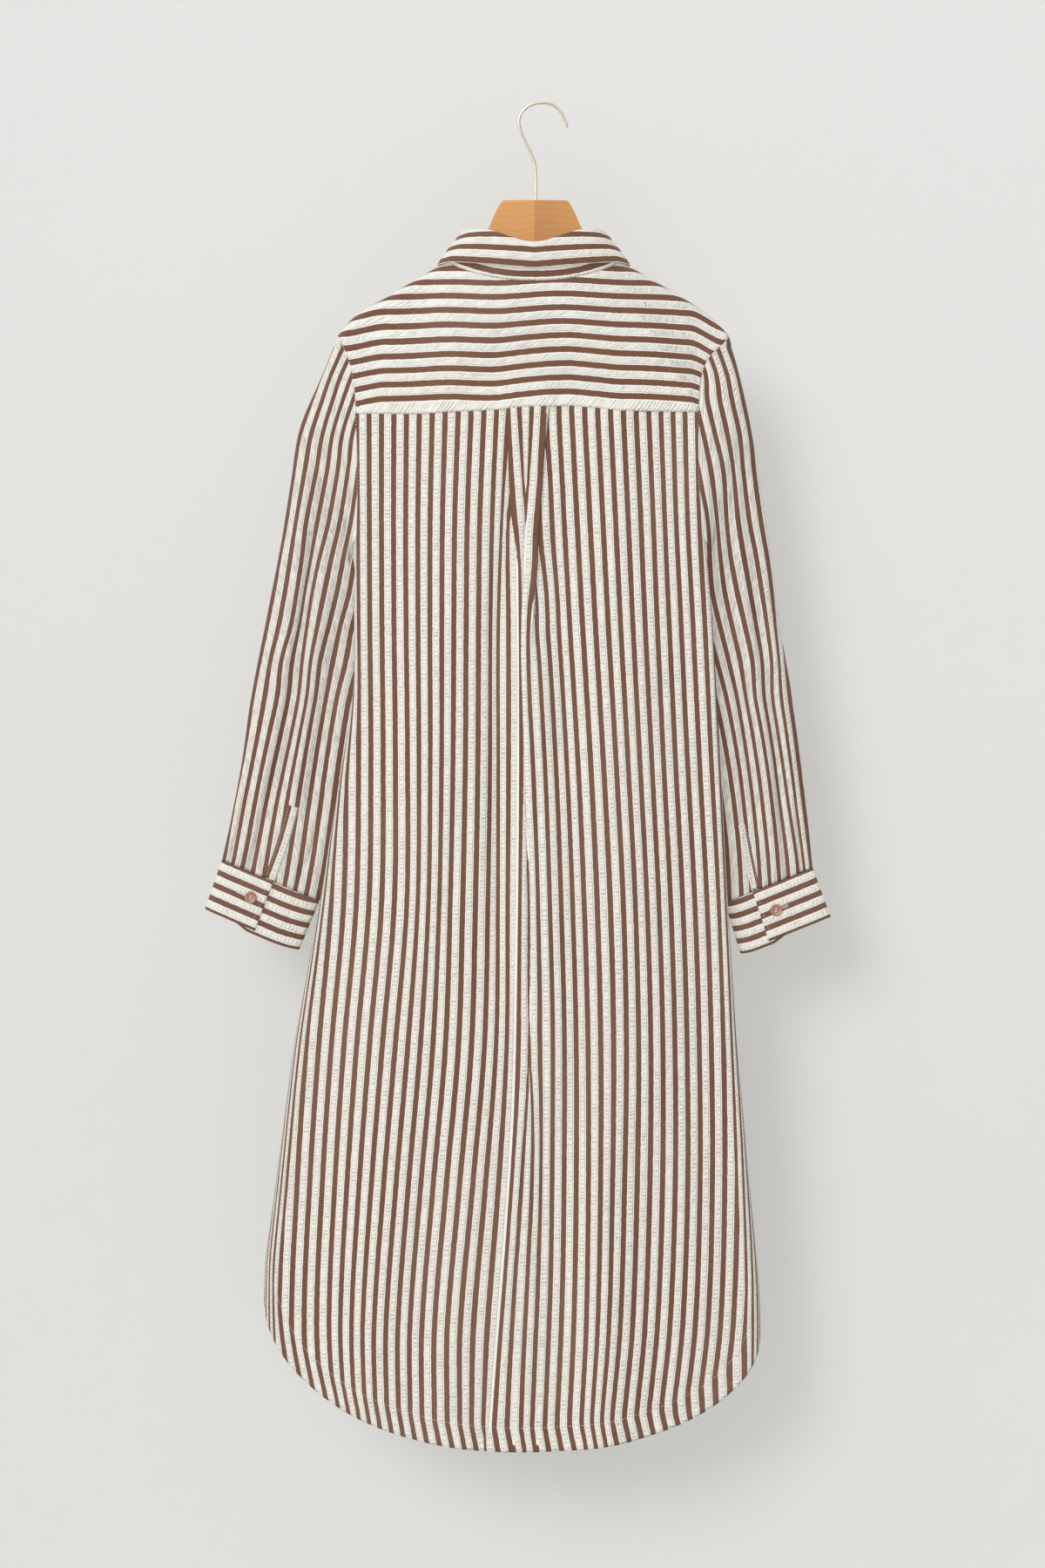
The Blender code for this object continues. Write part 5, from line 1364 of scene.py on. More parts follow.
SLEEVES[1] = (
    Ring(0.00, 189.0, 235.0, 163.7, 445.0, 2.0, 15.0),
    Ring(0.10, 198.5, 269.0, 164.0, 461.0, 5.0, 14.5),
    Ring(0.22, 210.5, 321.0, 160.0, 484.0, 10.0, 14.0),
    Ring(0.34, 219.5, 373.0, 155.5, 510.0, 14.0, 14.0),
    Ring(0.46, 229.5, 435.0, 152.5, 542.0, 16.0, 14.0),
    Ring(0.58, 238.5, 509.0, 152.5, 578.0, 16.5, 14.0),
    Ring(0.72, 256.0, 611.0, 156.0, 648.0, 16.5, 14.0),
    Ring(0.84, 266.0, 685.0, 165.0, 718.0, 16.0, 14.0),
    Ring(0.93, 271.0, 736.0, 175.5, 770.0, 14.0, 12.5),
    Ring(1.00, 274.6, 774.4, 186.3, 809.6, CUFF_MIDDLE, CUFF_DEPTH),
)
Cuff = namedtuple("Cuff", "outer_x outer_drop inner_x inner_drop lap_angle button_across button_down")
CUFFS = {
    -1: Cuff(-342.8, 816.6, -247.8, 857.1, 93.0, 0.386, 0.44),
    1: Cuff(293.0, 824.3, 201.8, 860.1, 110.0, 0.517, 0.49),
}
Crease = namedtuple("Crease", "name start stop across_start across_stop width height")
CREASES = {}
CREASES[-1] = (  # across runs from -1 at the inner edge to 1 at the outer edge
    Crease("outer_ridge", 0.18, 0.97, 0.62, 0.52, 0.20, 4.0),
    Crease("middle_valley", 0.30, 0.98, 0.36, 0.24, 0.13, -4.5),
    Crease("slit_ridge", 0.34, 0.97, 0.10, 0.02, 0.14, 4.0),
    Crease("inner_valley", 0.45, 0.95, -0.24, -0.22, 0.18, -3.5),
    Crease("deep_tuck", 0.80, 1.10, 0.42, 0.42, 0.08, -4.5),
    Crease("outer_tuck", 0.86, 1.10, 0.82, 0.84, 0.06, -3.0),
    Crease("inner_tuck", 0.82, 1.10, -0.45, -0.50, 0.07, -3.0),
)
CREASES[1] = (
    Crease("long_ridge", 0.20, 0.98, 0.30, 0.22, 0.15, 4.0),
    Crease("long_valley", 0.30, 0.98, -0.02, -0.02, 0.15, -4.5),
    Crease("outer_valley", 0.45, 0.97, 0.56, 0.48, 0.12, -3.5),
    Crease("outer_ridge", 0.45, 0.97, 0.78, 0.76, 0.12, 2.5),
    Crease("inner_tuck", 0.80, 1.10, -0.24, -0.30, 0.07, -3.5),
    Crease("middle_tuck", 0.78, 1.10, 0.46, 0.30, 0.07, -4.0),
    Crease("edge_tuck", 0.84, 1.10, 0.76, 0.70, 0.06, -3.0),
)
Strand = namedtuple("Strand", "drop s1 s3 s5 s7 s9")
STRANDS = {}
STRANDS[-1] = (  # X of numbered stripes on the back of the sleeve, outermost first
    Strand(248, -213.0, -190.1, -167.2, -144.3, -121.4),
    Strand(275, -224.4, -203.3, -180.4, -157.5, -134.6),
    Strand(301, -234.1, -212.1, -191.0, -169.8, -147.8),
    Strand(336, -246.4, -222.6, -202.4, -181.3, -160.2),
    Strand(371, -252.6, -228.8, -206.8, -185.7, -164.6),
    Strand(424, -260.5, -239.8, -216.9, -193.6, -169.8),
    Strand(459, -267.5, -243.8, -226.2, -201.5, -178.6),
    Strand(495, -273.7, -249.0, -234.1, -208.6, -183.9),
    Strand(530, -280.7, -255.2, -239.4, -217.4, -193.6),
    Strand(565, -287.8, -264.9, -243.8, -226.2, -199.8),
    Strand(600, -294.8, -268.8, -247.3, -230.4, -208.6),
    Strand(635, -300.1, -276.3, -254.0, -236.6, -214.8),
    Strand(671, -306.2, -284.2, -261.8, -242.6, -220.2),
    Strand(706, -313.3, -291.3, -269.2, -248.2, -225.0),
    Strand(741, -319.4, -298.0, -275.4, -253.4, -229.6),
    Strand(767, -323.8, -303.6, -279.8, -257.4, -233.4),
    Strand(811, -334.4, -314.2, -287.8, -264.9, -242.0),
)
STRANDS[1] = (
    Strand(248, 199.8, 176.9, 154.0, 131.1, 108.2),
    Strand(275, 209.4, 186.6, 164.6, 142.6, 120.6),
    Strand(301, 215.6, 191.8, 166.3, 142.6, 120.6),
    Strand(336, 222.6, 199.8, 174.2, 150.5, 127.6),
    Strand(371, 226.2, 203.3, 183.0, 156.6, 133.8),
    Strand(424, 234.1, 210.3, 186.6, 167.2, 144.3),
    Strand(459, 239.4, 217.4, 191.0, 169.8, 147.0),
    Strand(495, 242.9, 223.5, 198.0, 172.5, 149.6),
    Strand(530, 244.6, 228.8, 205.9, 180.4, 155.8),
    Strand(565, 247.3, 233.2, 213.0, 189.2, 165.4),
    Strand(600, 250.8, 234.0, 215.6, 197.6, 175.1),
    Strand(635, 255.6, 239.2, 222.0, 203.8, 183.0),
    Strand(671, 260.2, 244.6, 227.8, 209.3, 189.5),
    Strand(706, 264.4, 249.6, 232.4, 213.8, 194.4),
    Strand(741, 268.8, 254.8, 236.4, 217.4, 198.4),
    Strand(767, 271.9, 258.6, 238.8, 219.6, 200.6),
    Strand(811, 277.2, 263.1, 242.0, 222.4, 203.0),
)


# %% [markdown]
# A ring of the sleeve is a flattened oval between its outer and its inner edge. Near the armhole
# it takes the armhole's shape, and below it keeps clear of the body. A crease is a long bump that
# pushes the back of the sleeve in or out and fades at both ends.

# %% Sleeve form
def flat_ring(row, turn):
    """A flattened ring from the outer edge (0 degrees) over the back to the inner edge."""
    angle = np.radians(turn)
    outward_share = (1.0 + power(np.cos(angle), RING_ROUND[0])) / 2
    x = mix(row["inner_x"], row["outer_x"], outward_share)
    drop = mix(row["inner_drop"], row["outer_drop"], outward_share)
    return place(x, row["middle_y"] - row["depth"] * power(np.sin(angle), RING_ROUND[1]), drop)


def sleeve_ring(side, along):
    return {name: curve(SLEEVES[side], along, name) for name in Ring._fields[1:]}


def beside(side, point, gap):
    """Keeps the sleeve a gap outside the body's side fold and in front of the front."""
    drop = -point[..., 2]
    radius = side_radius(drop)
    middle_x = side_edge(side, drop) - side * radius
    middle_y = back_y(middle_x, drop) + radius
    away_x, away_y = point[..., 0] - middle_x, point[..., 1] - middle_y
    least = (radius + gap) * smooth((drop - UNDERARM + 35.0) / 30.0)
    length = np.maximum(np.hypot(away_x, away_y), 1e-6)
    behind = away_x * side < 0.0
    near = (~behind) & (length < least)
    active = drop >= YOKE_SEAM
    moved = point.copy()
    moved[..., 0] = np.where(active & near, middle_x + away_x * least / length, point[..., 0])
    pushed = np.where(near, middle_y + away_y * least / length, point[..., 1])
    pushed = np.where(behind, np.maximum(point[..., 1], front_y(point[..., 0], drop) + gap), pushed)
    moved[..., 1] = np.where(active, pushed, point[..., 1])
    return moved


def armhole_outside(side, turn):
    along = unit(armhole(side, turn + 2.0) - armhole(side, turn - 2.0))
    out = np.array([side, 0.0, 0.0]) - along * (along[..., :1] * side)
    gap = np.where(turn % 360.0 <= 180.0, *ARMHOLE_GAP)
    return armhole(side, turn) + unit(out) * gap[..., None]


def creased(point, along, turn, table):
    across = np.cos(np.radians(turn))
    seen = (turn % 360.0) < 180.0
    for crease in table:
        t = (along - crease.start) / (crease.stop - crease.start)
        inside = (t > 0.0) & (t < 1.0) & seen
        away = (across - mix(crease.across_start, crease.across_stop, t)) / crease.width
        push = crease.height * np.exp(-away * away) * smooth(np.minimum(t, 1.0 - t) * 5.0)
        point[..., 1] -= np.where(inside, push, 0.0)
    return point


def sleeve_point(side, along, turn):
    along, turn = np.broadcast_arrays(np.asarray(along, float), np.asarray(turn, float) % 360.0)
    point = flat_ring(sleeve_ring(side, along), turn)
    head = smooth(along / SLEEVE_HEAD)[..., None]
    point = mix(armhole_outside(side, turn), point, head)
    low_side = smooth((-np.cos(np.radians(turn)) - 0.2) / 0.7)
    pouch = np.where(along < POUCH[1], np.sin(math.pi * along / POUCH[1]), 0.0)
    point[..., 0] += side * POUCH[0] * low_side * pouch
    point = creased(point, along, turn, CREASES[side])
    gap = mix(*SLEEVE_GAPS, smooth(along / 0.05))
    return np.where((along > 0.0)[..., None], beside(side, point, gap), point)


def sleeve_stripe(side, x, drop):
    """Number of the stripe on the back of the sleeve, counted from its outer edge."""
    first = 0 if side < 0 else 1
    knots = [(-side * curve(STRANDS[side], drop, f"s{n}"), n - first) for n in (1, 3, 5, 7, 9)]
    return between(-side * x, knots)


# %% [markdown]
# The sheet starts and ends at the slit. Above the slit its two ends are joined, so the sleeve is
# a closed tube, and there the pattern needs two values for one column: the stripes run round the
# front of the sleeve and meet the next ones at the inner edge.

# %% Sleeves
SLEEVE_LINES = 150
BACK_TURNS, FRONT_TURNS = 74, 40


def sleeve_grid(side):
    lap = CUFFS[side].lap_angle
    toward = int(BACK_TURNS * lap / 180.0)
    turns = np.concatenate(
        [
            np.linspace(lap, 0.0, toward + 1),
            np.linspace(0.0, -180.0, FRONT_TURNS + 1)[1:],
            np.linspace(-180.0, lap - 360.0, BACK_TURNS - toward + 1)[1:],
        ]
    )
    steps = np.linspace(0.0, 1.0, SLEEVE_LINES)
    along = mix(steps, np.sin(steps * math.pi / 2), 0.2)
    grid = sleeve_point(side, along[:, None], turns[None, :])
    beyond = sleeve_point(side, along, np.array(lap + 4.0))
    apart = unit(beyond - grid[:, 0]) * (SLIT_OPEN * smooth((along - SLIT_START + 0.03) / 0.06))[:, None]
    slit = along > SLIT_START
    closed = int(np.sum(~slit))
    grid[slit, 0] -= apart[slit]
    grid[slit, -1] += apart[slit]
    return grid, turns, along, closed, toward


sleeves = {}
for side, name in SIDES:
    grid, turns, along, closed, outer = sleeve_grid(side)
    number = sleeve_stripe(side, grid[..., 0], -grid[..., 2]) * PITCH
    lengths = arc(grid, 1)
    inner = outer + FRONT_TURNS
    front = slice(outer, inner + 1)
    across = number.copy()
    across[:, front] = number[:, [outer]] - (lengths[:, front] - lengths[:, [outer]])
    start = number.copy()
    start[:, outer:inner] = across[:, outer:inner]
    flat, flat_end = (np.stack([values, arc(grid, 0)], -1) for values in (start, across))
    cloth = (f"sleeve_{name}_cloth", grid, flat, CLOTH, lengthwise, "cloth_lengthwise")
    sleeve = add_cloth(*cloth, flat_end, closed, side > 0)
    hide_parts(f"sleeve_{name}")
    sleeves[side] = (grid, turns, along, sleeve)
    print("sleeve", name, grid.shape, "closed rows", closed)


# %% [markdown]
# ## Cuffs and slit bindings
#
# The cuff runs round the wrist and laps over itself on the back, where it buttons. A narrow
# strip covers the edge of the slit above it.

# %% Cuffs
def cuff_point(side, down, turn, off=0.0):
    cuff = CUFFS[side]
    top = sleeve_ring(side, np.array(1.0))
    row = {"middle_y": CUFF_MIDDLE, "depth": CUFF_DEPTH}
    for name in ("outer_x", "outer_drop", "inner_x", "inner_drop"):
        row[name] = mix(top[name], getattr(cuff, name), down)
    ahead = flat_ring(row, turn + 2.0) - flat_ring(row, turn - 2.0)
    lengthwise = np.array([cuff.outer_x - top["outer_x"], 0.0, top["outer_drop"] - cuff.outer_drop])
    normal = unit(np.cross(ahead, lengthwise)) * side
    return flat_ring(row, turn) + normal * np.asarray(off)[..., None]


def cuff_shift(lap, turn):
    return CUFF_SHIFT * smooth((lap - 265.0 - turn) / 80.0)


def cuff_top(lap, turn):
    """How far the end with the buttonhole stands off, which lies on top."""
    return CUFF_STEP * smooth((turn - lap + CUFF_LAP + 20.0) / CUFF_BLEND)


def cuff_grid(side):
    """The cuff's points and how far down each of them was cut, 0 to 1."""
    lap = CUFFS[side].lap_angle
    rows = np.linspace(0.0, 1.0, 24)[:, None]
    turn = np.linspace(lap, lap - 360.0 - CUFF_LAP, 150)[None, :]
    shift = cuff_shift(lap, turn) * smooth((turn - lap + 360.0 + CUFF_LAP) / CUFF_BLEND)
    down = mix(0.007, 1.0 + shift, rows)
    off = cuff_top(lap, turn) - CUFF_STEP * smooth((lap - 340.0 - turn) / CUFF_BLEND)
    return cuff_point(side, down, turn, off + 0.0 * down), down - shift


def binding_grid(side):
    lap = CUFFS[side].lap_angle
    along = np.linspace(SLIT_START, 0.998, 30)[:, None]
    out = np.linspace(-0.14, 1.0, 8)[None, :]
    ring = sleeve_ring(side, along)
    span = np.hypot(ring["outer_x"] - ring["inner_x"], ring["outer_drop"] - ring["inner_drop"])
    turn = lap - np.degrees(2.0 * BINDING_WIDTH * out / span)
    along = along + 0.0 * turn
    sideways = sleeve_point(side, along, turn + 2.0) - sleeve_point(side, along, turn - 2.0)
    lengthwise = sleeve_point(side, along + 0.01, turn) - sleeve_point(side, along - 0.01, turn)
    normal = unit(np.cross(sideways, lengthwise))
    normal = normal * np.where(normal[..., 1:2] > 0.0, -1.0, 1.0)
    return sleeve_point(side, along, turn) + normal * (1.0 + SEAM + 0.1)


cuffs = {}
for side, name in SIDES:
    grid, down = cuff_grid(side)
    flat = np.stack([4.0 * down * PITCH, arc(grid, 1)], -1)
    cuff = add_cloth(f"cuff_{name}_cloth", grid, flat, BAND, crosswise, "cloth_crosswise", flip=side > 0)
    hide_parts(f"cuff_{name}")
    strip = binding_grid(side)
    strip_flat = np.stack([arc(strip, 1) + 3.0, arc(strip, 0)], -1)
    binding = add_cloth(f"slit_binding_{name}", strip, strip_flat, CLOTH, lengthwise, "cloth_lengthwise")
    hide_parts(f"sleeve_placket_{name}")
    cuffs[side] = (grid, cuff, strip, binding)
    print("cuff", name, grid.shape)

# %% [markdown]
# ## Wood and wire
#
# The hanger is a pale hardwood under a thin satin lacquer, glued from two halves, so its grain
# bows away on both sides of the middle joint. The rings are level lines bent by the distance
# from the joint, with fine streaks along them. The hook is polished nickel with a warm tint.

# %% Wood grain group
WOOD_LIGHT = (0.62, 0.300, 0.090, 1.0)
WOOD_DARK = (0.29, 0.112, 0.028, 1.0)
BOW, LEAN, WANDER = 4.5, 0.25, 0.014  # of the level lines: how far they bow, lean and wander
group, entry, leave = new_group(
    "wood_grain",
    (("Place", "Vector", None), ("Joint", "Float", -7.2 * MM), ("Ring width", "Float", 6.5 * MM)),
    (("Color", "Color"), ("Height", "Float"), ("Roughness", "Float")),
)
net = Nodes(group)
parts = net.add("SeparateXYZ", Vector=entry.outputs["Place"])
from_joint = net.minus(parts.outputs[0], entry.outputs["Joint"])
out = net.math("ABSOLUTE", from_joint)
bend = net.times(net.times(out, out), BOW)
level = net.plus(net.minus(parts.outputs[2], bend), net.times(out, LEAN))
wander = net.times(net.noise(entry.outputs["Place"], 26.0, 2.0), WANDER)
level = net.plus(level, wander)
ring = net.math("FRACT", net.math("DIVIDE", level, entry.outputs["Ring width"]))
streak = net.streaks(out, level, (45.0, 1500.0), 3.0)
rings = net.times(net.ramp(ring, 0.2, 1.0), 0.10)
grain = net.plus(rings, net.times(streak, 0.30))
fade = net.ramp(from_joint, 0.055, 0.0, 0.14, 0.34)  # the right half is darker, most of all at the joint
shade = net.times(net.ramp(from_joint, -0.0003, 0.0012), fade)
joint = net.times(net.ramp(out, 0.0008, 0.0002), 0.45)
amount = net.plus(net.plus(grain, shade), joint)
net.feed(leave.inputs["Color"], net.colour(amount, WOOD_LIGHT, WOOD_DARK))
net.feed(leave.inputs["Height"], net.minus(streak, net.times(joint, 1.5)))
net.feed(leave.inputs["Roughness"], net.ramp(streak, 0.2, 0.8, 0.36, 0.50))
print("wood grain group", len(group.nodes), "nodes")


# %% [markdown]
# The hanger keeps its plain solids, so only their materials change. The nickel is a metal with
# smudges, which a little unevenness in its roughness gives.

# %% Hanger materials
def repaint(node, material):
    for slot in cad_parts[node].material_slots:
        slot.material = material


wood, shader, net, spot = new_material("lacquered_wood")
grained = net.add("Group", {"node_tree": bpy.data.node_groups["wood_grain"]}, Place=spot)
net.feed(shader.inputs["Base Color"], grained.outputs["Color"])
net.feed(shader.inputs["Roughness"], grained.outputs["Roughness"])
net.relief(shader, grained.outputs["Height"], 0.15, 0.0004)
shader.inputs["Coat Weight"].default_value = 0.12
shader.inputs["Coat Roughness"].default_value = 0.25
shader.inputs["Specular IOR Level"].default_value = 0.3
repaint("hanger_wood", wood)

NICKEL_TONES = ((0.76, 0.68, 0.57, 1.0), (0.64, 0.55, 0.44, 1.0))
nickel, shader, net, spot = new_material("warm_nickel")
mottle(net, shader, net.noise(spot, 160.0, 3.0), NICKEL_TONES, (0.3, 0.75, 0.42, 0.55))
shader.inputs["Metallic"].default_value = 1.0
repaint("hanger_hook", nickel)
print("hanger finished")

# %% [markdown]
# ## Buttons
#
# The buttons are small turned discs of brown resin with a sunk middle and four holes. One disc
# is turned from its profile, the holes are cut with a Boolean, and copies go where the plain
# solids of the buttons are, at their size and facing as they do.

# %% Button shape
BUTTON_PROFILE = (  # distance from the middle and height, of a disc with radius 1 and height 1
    (0.84, 0.0), (0.93, 0.08), (0.98, 0.3), (1.0, 0.6), (0.985, 0.82), (0.93, 0.96),
    (0.85, 1.0), (0.77, 0.96), (0.71, 0.84), (0.62, 0.68), (0.45, 0.62), (0.25, 0.61),
)
DISC_HEIGHT = 0.36
HOLE_OFF, HOLE_RADIUS, TURNED = 0.2, 0.105, 48


def finished(shape, name):
    mesh = bpy.data.meshes.new(name)
    shape.to_mesh(mesh)
    shape.free()
    return mesh


def turned_button():
    shape = bmesh.new()
    rings = []
    angles = [TAU * n / TURNED for n in range(TURNED)]
    for radius, height in BUTTON_PROFILE:
        corners = [(radius * math.cos(a), radius * math.sin(a), height * DISC_HEIGHT) for a in angles]
        rings.append([shape.verts.new(corner) for corner in corners])
    for first, second in zip(rings, rings[1:]):
        for n in range(TURNED):
            m = (n + 1) % TURNED
            shape.faces.new((first[n], first[m], second[m], second[n]))
    shape.faces.new(rings[-1])
    shape.faces.new(rings[0][::-1])
    bmesh.ops.recalc_face_normals(shape, faces=shape.faces)
    return finished(shape, "button")


def hole_cutter():
    shape = bmesh.new()
    for x in (-HOLE_OFF, HOLE_OFF):
        for y in (-HOLE_OFF, HOLE_OFF):
            round_bar = {"segments": 16, "radius1": HOLE_RADIUS, "radius2": HOLE_RADIUS, "depth": 2.0}
            made = bmesh.ops.create_cone(shape, cap_ends=True, **round_bar)
            bmesh.ops.translate(shape, verts=made["verts"], vec=(x, y, 0.0))
    return finished(shape, "button_holes")


def cut(mesh, cutter_mesh):
    """The mesh with the cutter taken away from it."""
    disc, cutter = (new_object(m.name, m) for m in (mesh, cutter_mesh))
    boolean = disc.modifiers.new("holes", "BOOLEAN")
    boolean.operation, boolean.object = "DIFFERENCE", cutter
    result = bpy.data.meshes.new_from_object(disc.evaluated_get(bpy.context.evaluated_depsgraph_get()))
    for thing in (disc, cutter):
        bpy.data.objects.remove(thing)
    return result


drilled = cut(turned_button(), hole_cutter())
print("button", len(drilled.polygons), "faces")

# %% [markdown]
# A plain solid's thinnest direction is the way its button faces, which a singular value
# decomposition of its points finds. Every button is turned a little differently, as sewn by hand.

# %% Buttons in place
RESIN_TONES = ((0.25, 0.118, 0.082, 1.0), (0.42, 0.225, 0.165, 1.0))
resin, shader, net, spot = new_material("brown_resin")
cloud = net.noise(spot, 420.0, 3.0, 0.6)
mottle(net, shader, cloud, RESIN_TONES, (0.25, 0.75, 0.26, 0.40))
net.relief(shader, cloud, 0.08, 0.0002)
shader.inputs["Coat Weight"].default_value = 0.2


def button_frame(name):
    """Base point, facing, radius and thickness of a button's plain solid, in millimetres."""
    points = np.array([v.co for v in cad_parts[name].data.vertices]) / MM
    middle = (points.min(0) + points.max(0)) / 2
    facing = np.linalg.svd(points - middle, full_matrices=False)[2][2]
    facing = facing * (1.0 if (facing[1] < 0.0) == name.startswith("cuff") else -1.0)
    heights = (points - middle) @ facing
    beside = points - middle - heights[:, None] * facing
    return middle + facing * heights.min(), facing, np.linalg.norm(beside, axis=1).max(), np.ptp(heights)


CUFF_SPIN, FRONT_SPIN = 0.15, 0.7  # how far the holes are turned, in radians
BUTTONS = {name: button_frame(name) for name in sorted(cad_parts) if "button" in name}
button_axes = {}
for count, (name, (base, facing, radius, thick)) in enumerate(BUTTONS.items()):
    spin = CUFF_SPIN if name.startswith("cuff") else FRONT_SPIN * math.sin(5.0 * count)
    aside = unit(np.cross([math.sin(spin), 0.0, math.cos(spin)], facing))
    upward = np.cross(facing, aside)
    button_axes[name] = (aside, upward)
    mesh = drilled.copy()
    corner = np.array([v.co for v in mesh.vertices])
    across = radius * (corner[:, :1] * aside + corner[:, 1:2] * upward)
    placed = base + across + corner[:, 2:] / DISC_HEIGHT * thick * facing
    mesh.vertices.foreach_set("co", (placed * MM).astype(np.float32).ravel())
    mesh.shade_smooth()
    piece = add_object(f"{name}_turned", mesh, resin)
    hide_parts(name)
print("buttons", len(BUTTONS))

# %% [markdown]
# ## Thread
#
# Seams are held by real stitches: short arched lengths of thread that dive into the cloth at
# both ends. One helper adds a tube along a path, and every kind of sewing is made from it.

# %% Thread helper
COTTON_TONES = ((0.84, 0.80, 0.72, 1.0), (0.66, 0.61, 0.53, 1.0))
cotton, shader, net, spot = new_material("sewing_thread")
fuzz = net.noise(spot, 2600.0, 2.0)
mottle(net, shader, fuzz, COTTON_TONES, (0.3, 0.7, 0.6, 0.8))
net.relief(shader, fuzz, 0.3, 0.0001)


class Threads:
    """Tubes of thread gathered into one mesh."""

    def __init__(self):
        self.points, self.faces, self.count = [], [], 0

    def add(self, path, radius=0.2, sides=5):
        path = np.asarray(path, float)
        ahead = unit(np.gradient(path, axis=0))
        beside = np.eye(3)[np.argmin(np.abs(ahead.mean(0)))]
        aside = unit(np.cross(ahead, beside))
        upward = np.cross(ahead, aside)
        angle = TAU * np.arange(sides)[None, :, None] / sides
        width = np.full(len(path), radius)
        width[[0, -1]] *= 0.6
        round_path = np.cos(angle) * aside[:, None] + np.sin(angle) * upward[:, None]
        ring = path[:, None] + width[:, None, None] * round_path
        at = self.count + np.arange(len(path) * sides).reshape(len(path), sides)
        quads = np.stack([at[:-1], np.roll(at, -1, 1)[:-1], np.roll(at, -1, 1)[1:], at[1:]], -1)
        self.faces += quads.reshape(-1, 4).tolist() + [at[0, ::-1].tolist(), at[-1].tolist()]
        self.points.append(ring.reshape(-1, 3))
        self.count += len(path) * sides

    def finish(self, name):
        mesh = bpy.data.meshes.new(name)
        mesh.from_pydata((np.concatenate(self.points) * MM).tolist(), [], self.faces)
        mesh.shade_smooth()
        piece = add_object(name, mesh, cotton)
        print(name, len(self.faces), "faces")
        return piece


# %% Stitch helper
BACKWARD, FORWARD = np.array([0.0, -1.0, 0.0]), np.array([0.0, 1.0, 0.0])
STITCH_ARCH = np.array([-0.22, 0.12, 0.2, 0.12, -0.22])  # height over the cloth along a stitch
STITCH_RADIUS = 0.17


def stitch(threads, line, facing, off, length=2.4, gap=0.8):
    """Running stitches on a line of points; facing points away from the cloth."""
    line = np.asarray(line, float)
    facing = np.broadcast_to(facing, line.shape)
    steps = np.concatenate([[0.0], np.cumsum(np.linalg.norm(np.diff(line, axis=0), axis=1))])
    count = max(1, int(steps[-1] / (length + gap)))
    heights = off + STITCH_ARCH
    for n in range(count):
        at = (n + 0.5) * steps[-1] / count + np.linspace(-0.5, 0.5, 5) * length
        place_at = np.stack([np.interp(at, steps, line[:, axis]) for axis in range(3)], -1)
        out = unit(np.stack([np.interp(at, steps, facing[:, axis]) for axis in range(3)], -1))
        threads.add(place_at + out * heights[:, None], STITCH_RADIUS)


def line_at(grid, value, wanted):
    """The line across a grid where value, which rises down each column, reaches wanted."""
    columns = ((value[:, n], grid[:, n]) for n in range(grid.shape[1]))
    return np.array([[np.interp(wanted, key, line) for line in points.T] for key, points in columns])


# %% [markdown]
# The hems, the edges of the yoke and both edges of the button band are held by a fine dotted line
# of stitches. The line is found on the finished sheet, so it follows every fold.

# %% Body stitches
EDGE_STITCH = 1.5  # from the front edge of the yoke
body_threads = Threads()
hem_line = line_at(back, -back_up, -HEM_DEPTH)
stitch(body_threads, hem_line[SIDE_COLUMNS:-SIDE_COLUMNS], BACKWARD, CLOTH / 2)
yoke_line = line_at(yoke, from_end(yoke), -2.0)
stitch(body_threads, yoke_line[44:-44], BACKWARD, CLOTH / 2)
for side in (-1, 1):
    grid = fronts[side][0]
    front_line = line_at(grid, -above_hem(grid), -HEM_DEPTH)
    stitch(body_threads, front_line[FRONT_SIDE:], FORWARD, CLOTH / 2)
    outer, inner = (0, 1) if side < 0 else (-1, -2)
    edge = yoke[:, outer] + unit(yoke[:, inner] - yoke[:, outer]) * EDGE_STITCH
    stitch(body_threads, edge[3:-2], FORWARD, CLOTH / 2)
for column in (1, -2):
    stitch(body_threads, bands[1][0][4:, column], FORWARD, BAND / 2, 2.8, 0.8)
body_threads.finish("stitches_body")

# %% [markdown]
# At an armhole the sleeve is sewn to the body edge to edge, so short threads cross the seam.

# %% Armhole seams
SEAM_THREAD = 0.22
SEAM_REACH = np.array([[-1.1], [-0.5], [0.3], [0.9]])  # along a stitch over the seam
SEAM_RISE = np.array([[0.25], [0.62], [0.62], [0.1]])
seam_threads = Threads()
for side in (-1, 1):
    turns = np.arange(3.0, 358.0, 2.1)
    seam, outer = armhole(side, turns), armhole_outside(side, turns)
    out = unit(outer + np.array([side * 3.0, 0.0, 0.0]) - seam)
    y_sign = np.where(turns < 180.0, -1.0, 1.0)
    above = unit(np.stack([0.5 * side + 0.0 * turns, y_sign, 0.3 * np.cos(np.radians(turns))], -1))
    for at, way, facing in zip(seam, out, above):
        seam_threads.add(at + SEAM_REACH * way + SEAM_RISE * facing, SEAM_THREAD)
seam_threads.finish("stitches_armholes")

# %% [markdown]
# Collar and cuffs are stitched all round, a few millimetres from the edge.

# %% Collar and cuff stitches
FALL_STITCH, STAND_STITCH = 7.6, 1.6  # from the lower edges
collar_threads = Threads()
for grid, value, wanted, reach in (
    (fall, from_end(fall), -FALL_STITCH, FALL_REACH),
    (stand, arc(stand, 0), STAND_STITCH, STAND_REACH),
):
    facing = outward(np.linspace(-reach, reach, COLLAR_COLUMNS))
    stitch(collar_threads, line_at(grid, value, wanted)[2:-2], facing[2:-2], BAND / 2)
collar_threads.finish("stitches_collar")

CUFF_STITCHES = (0.09, 0.92)  # down the cuff
CUFF_END = 4.0  # degrees from the end that lies on top to the stitches along it


def stitch_cuff(side, down, turn, off):
    line = cuff_point(side, down, turn, off)
    stitch(cuff_threads, line, unit(cuff_point(side, down, turn, off + 1.0) - line), BAND / 2)


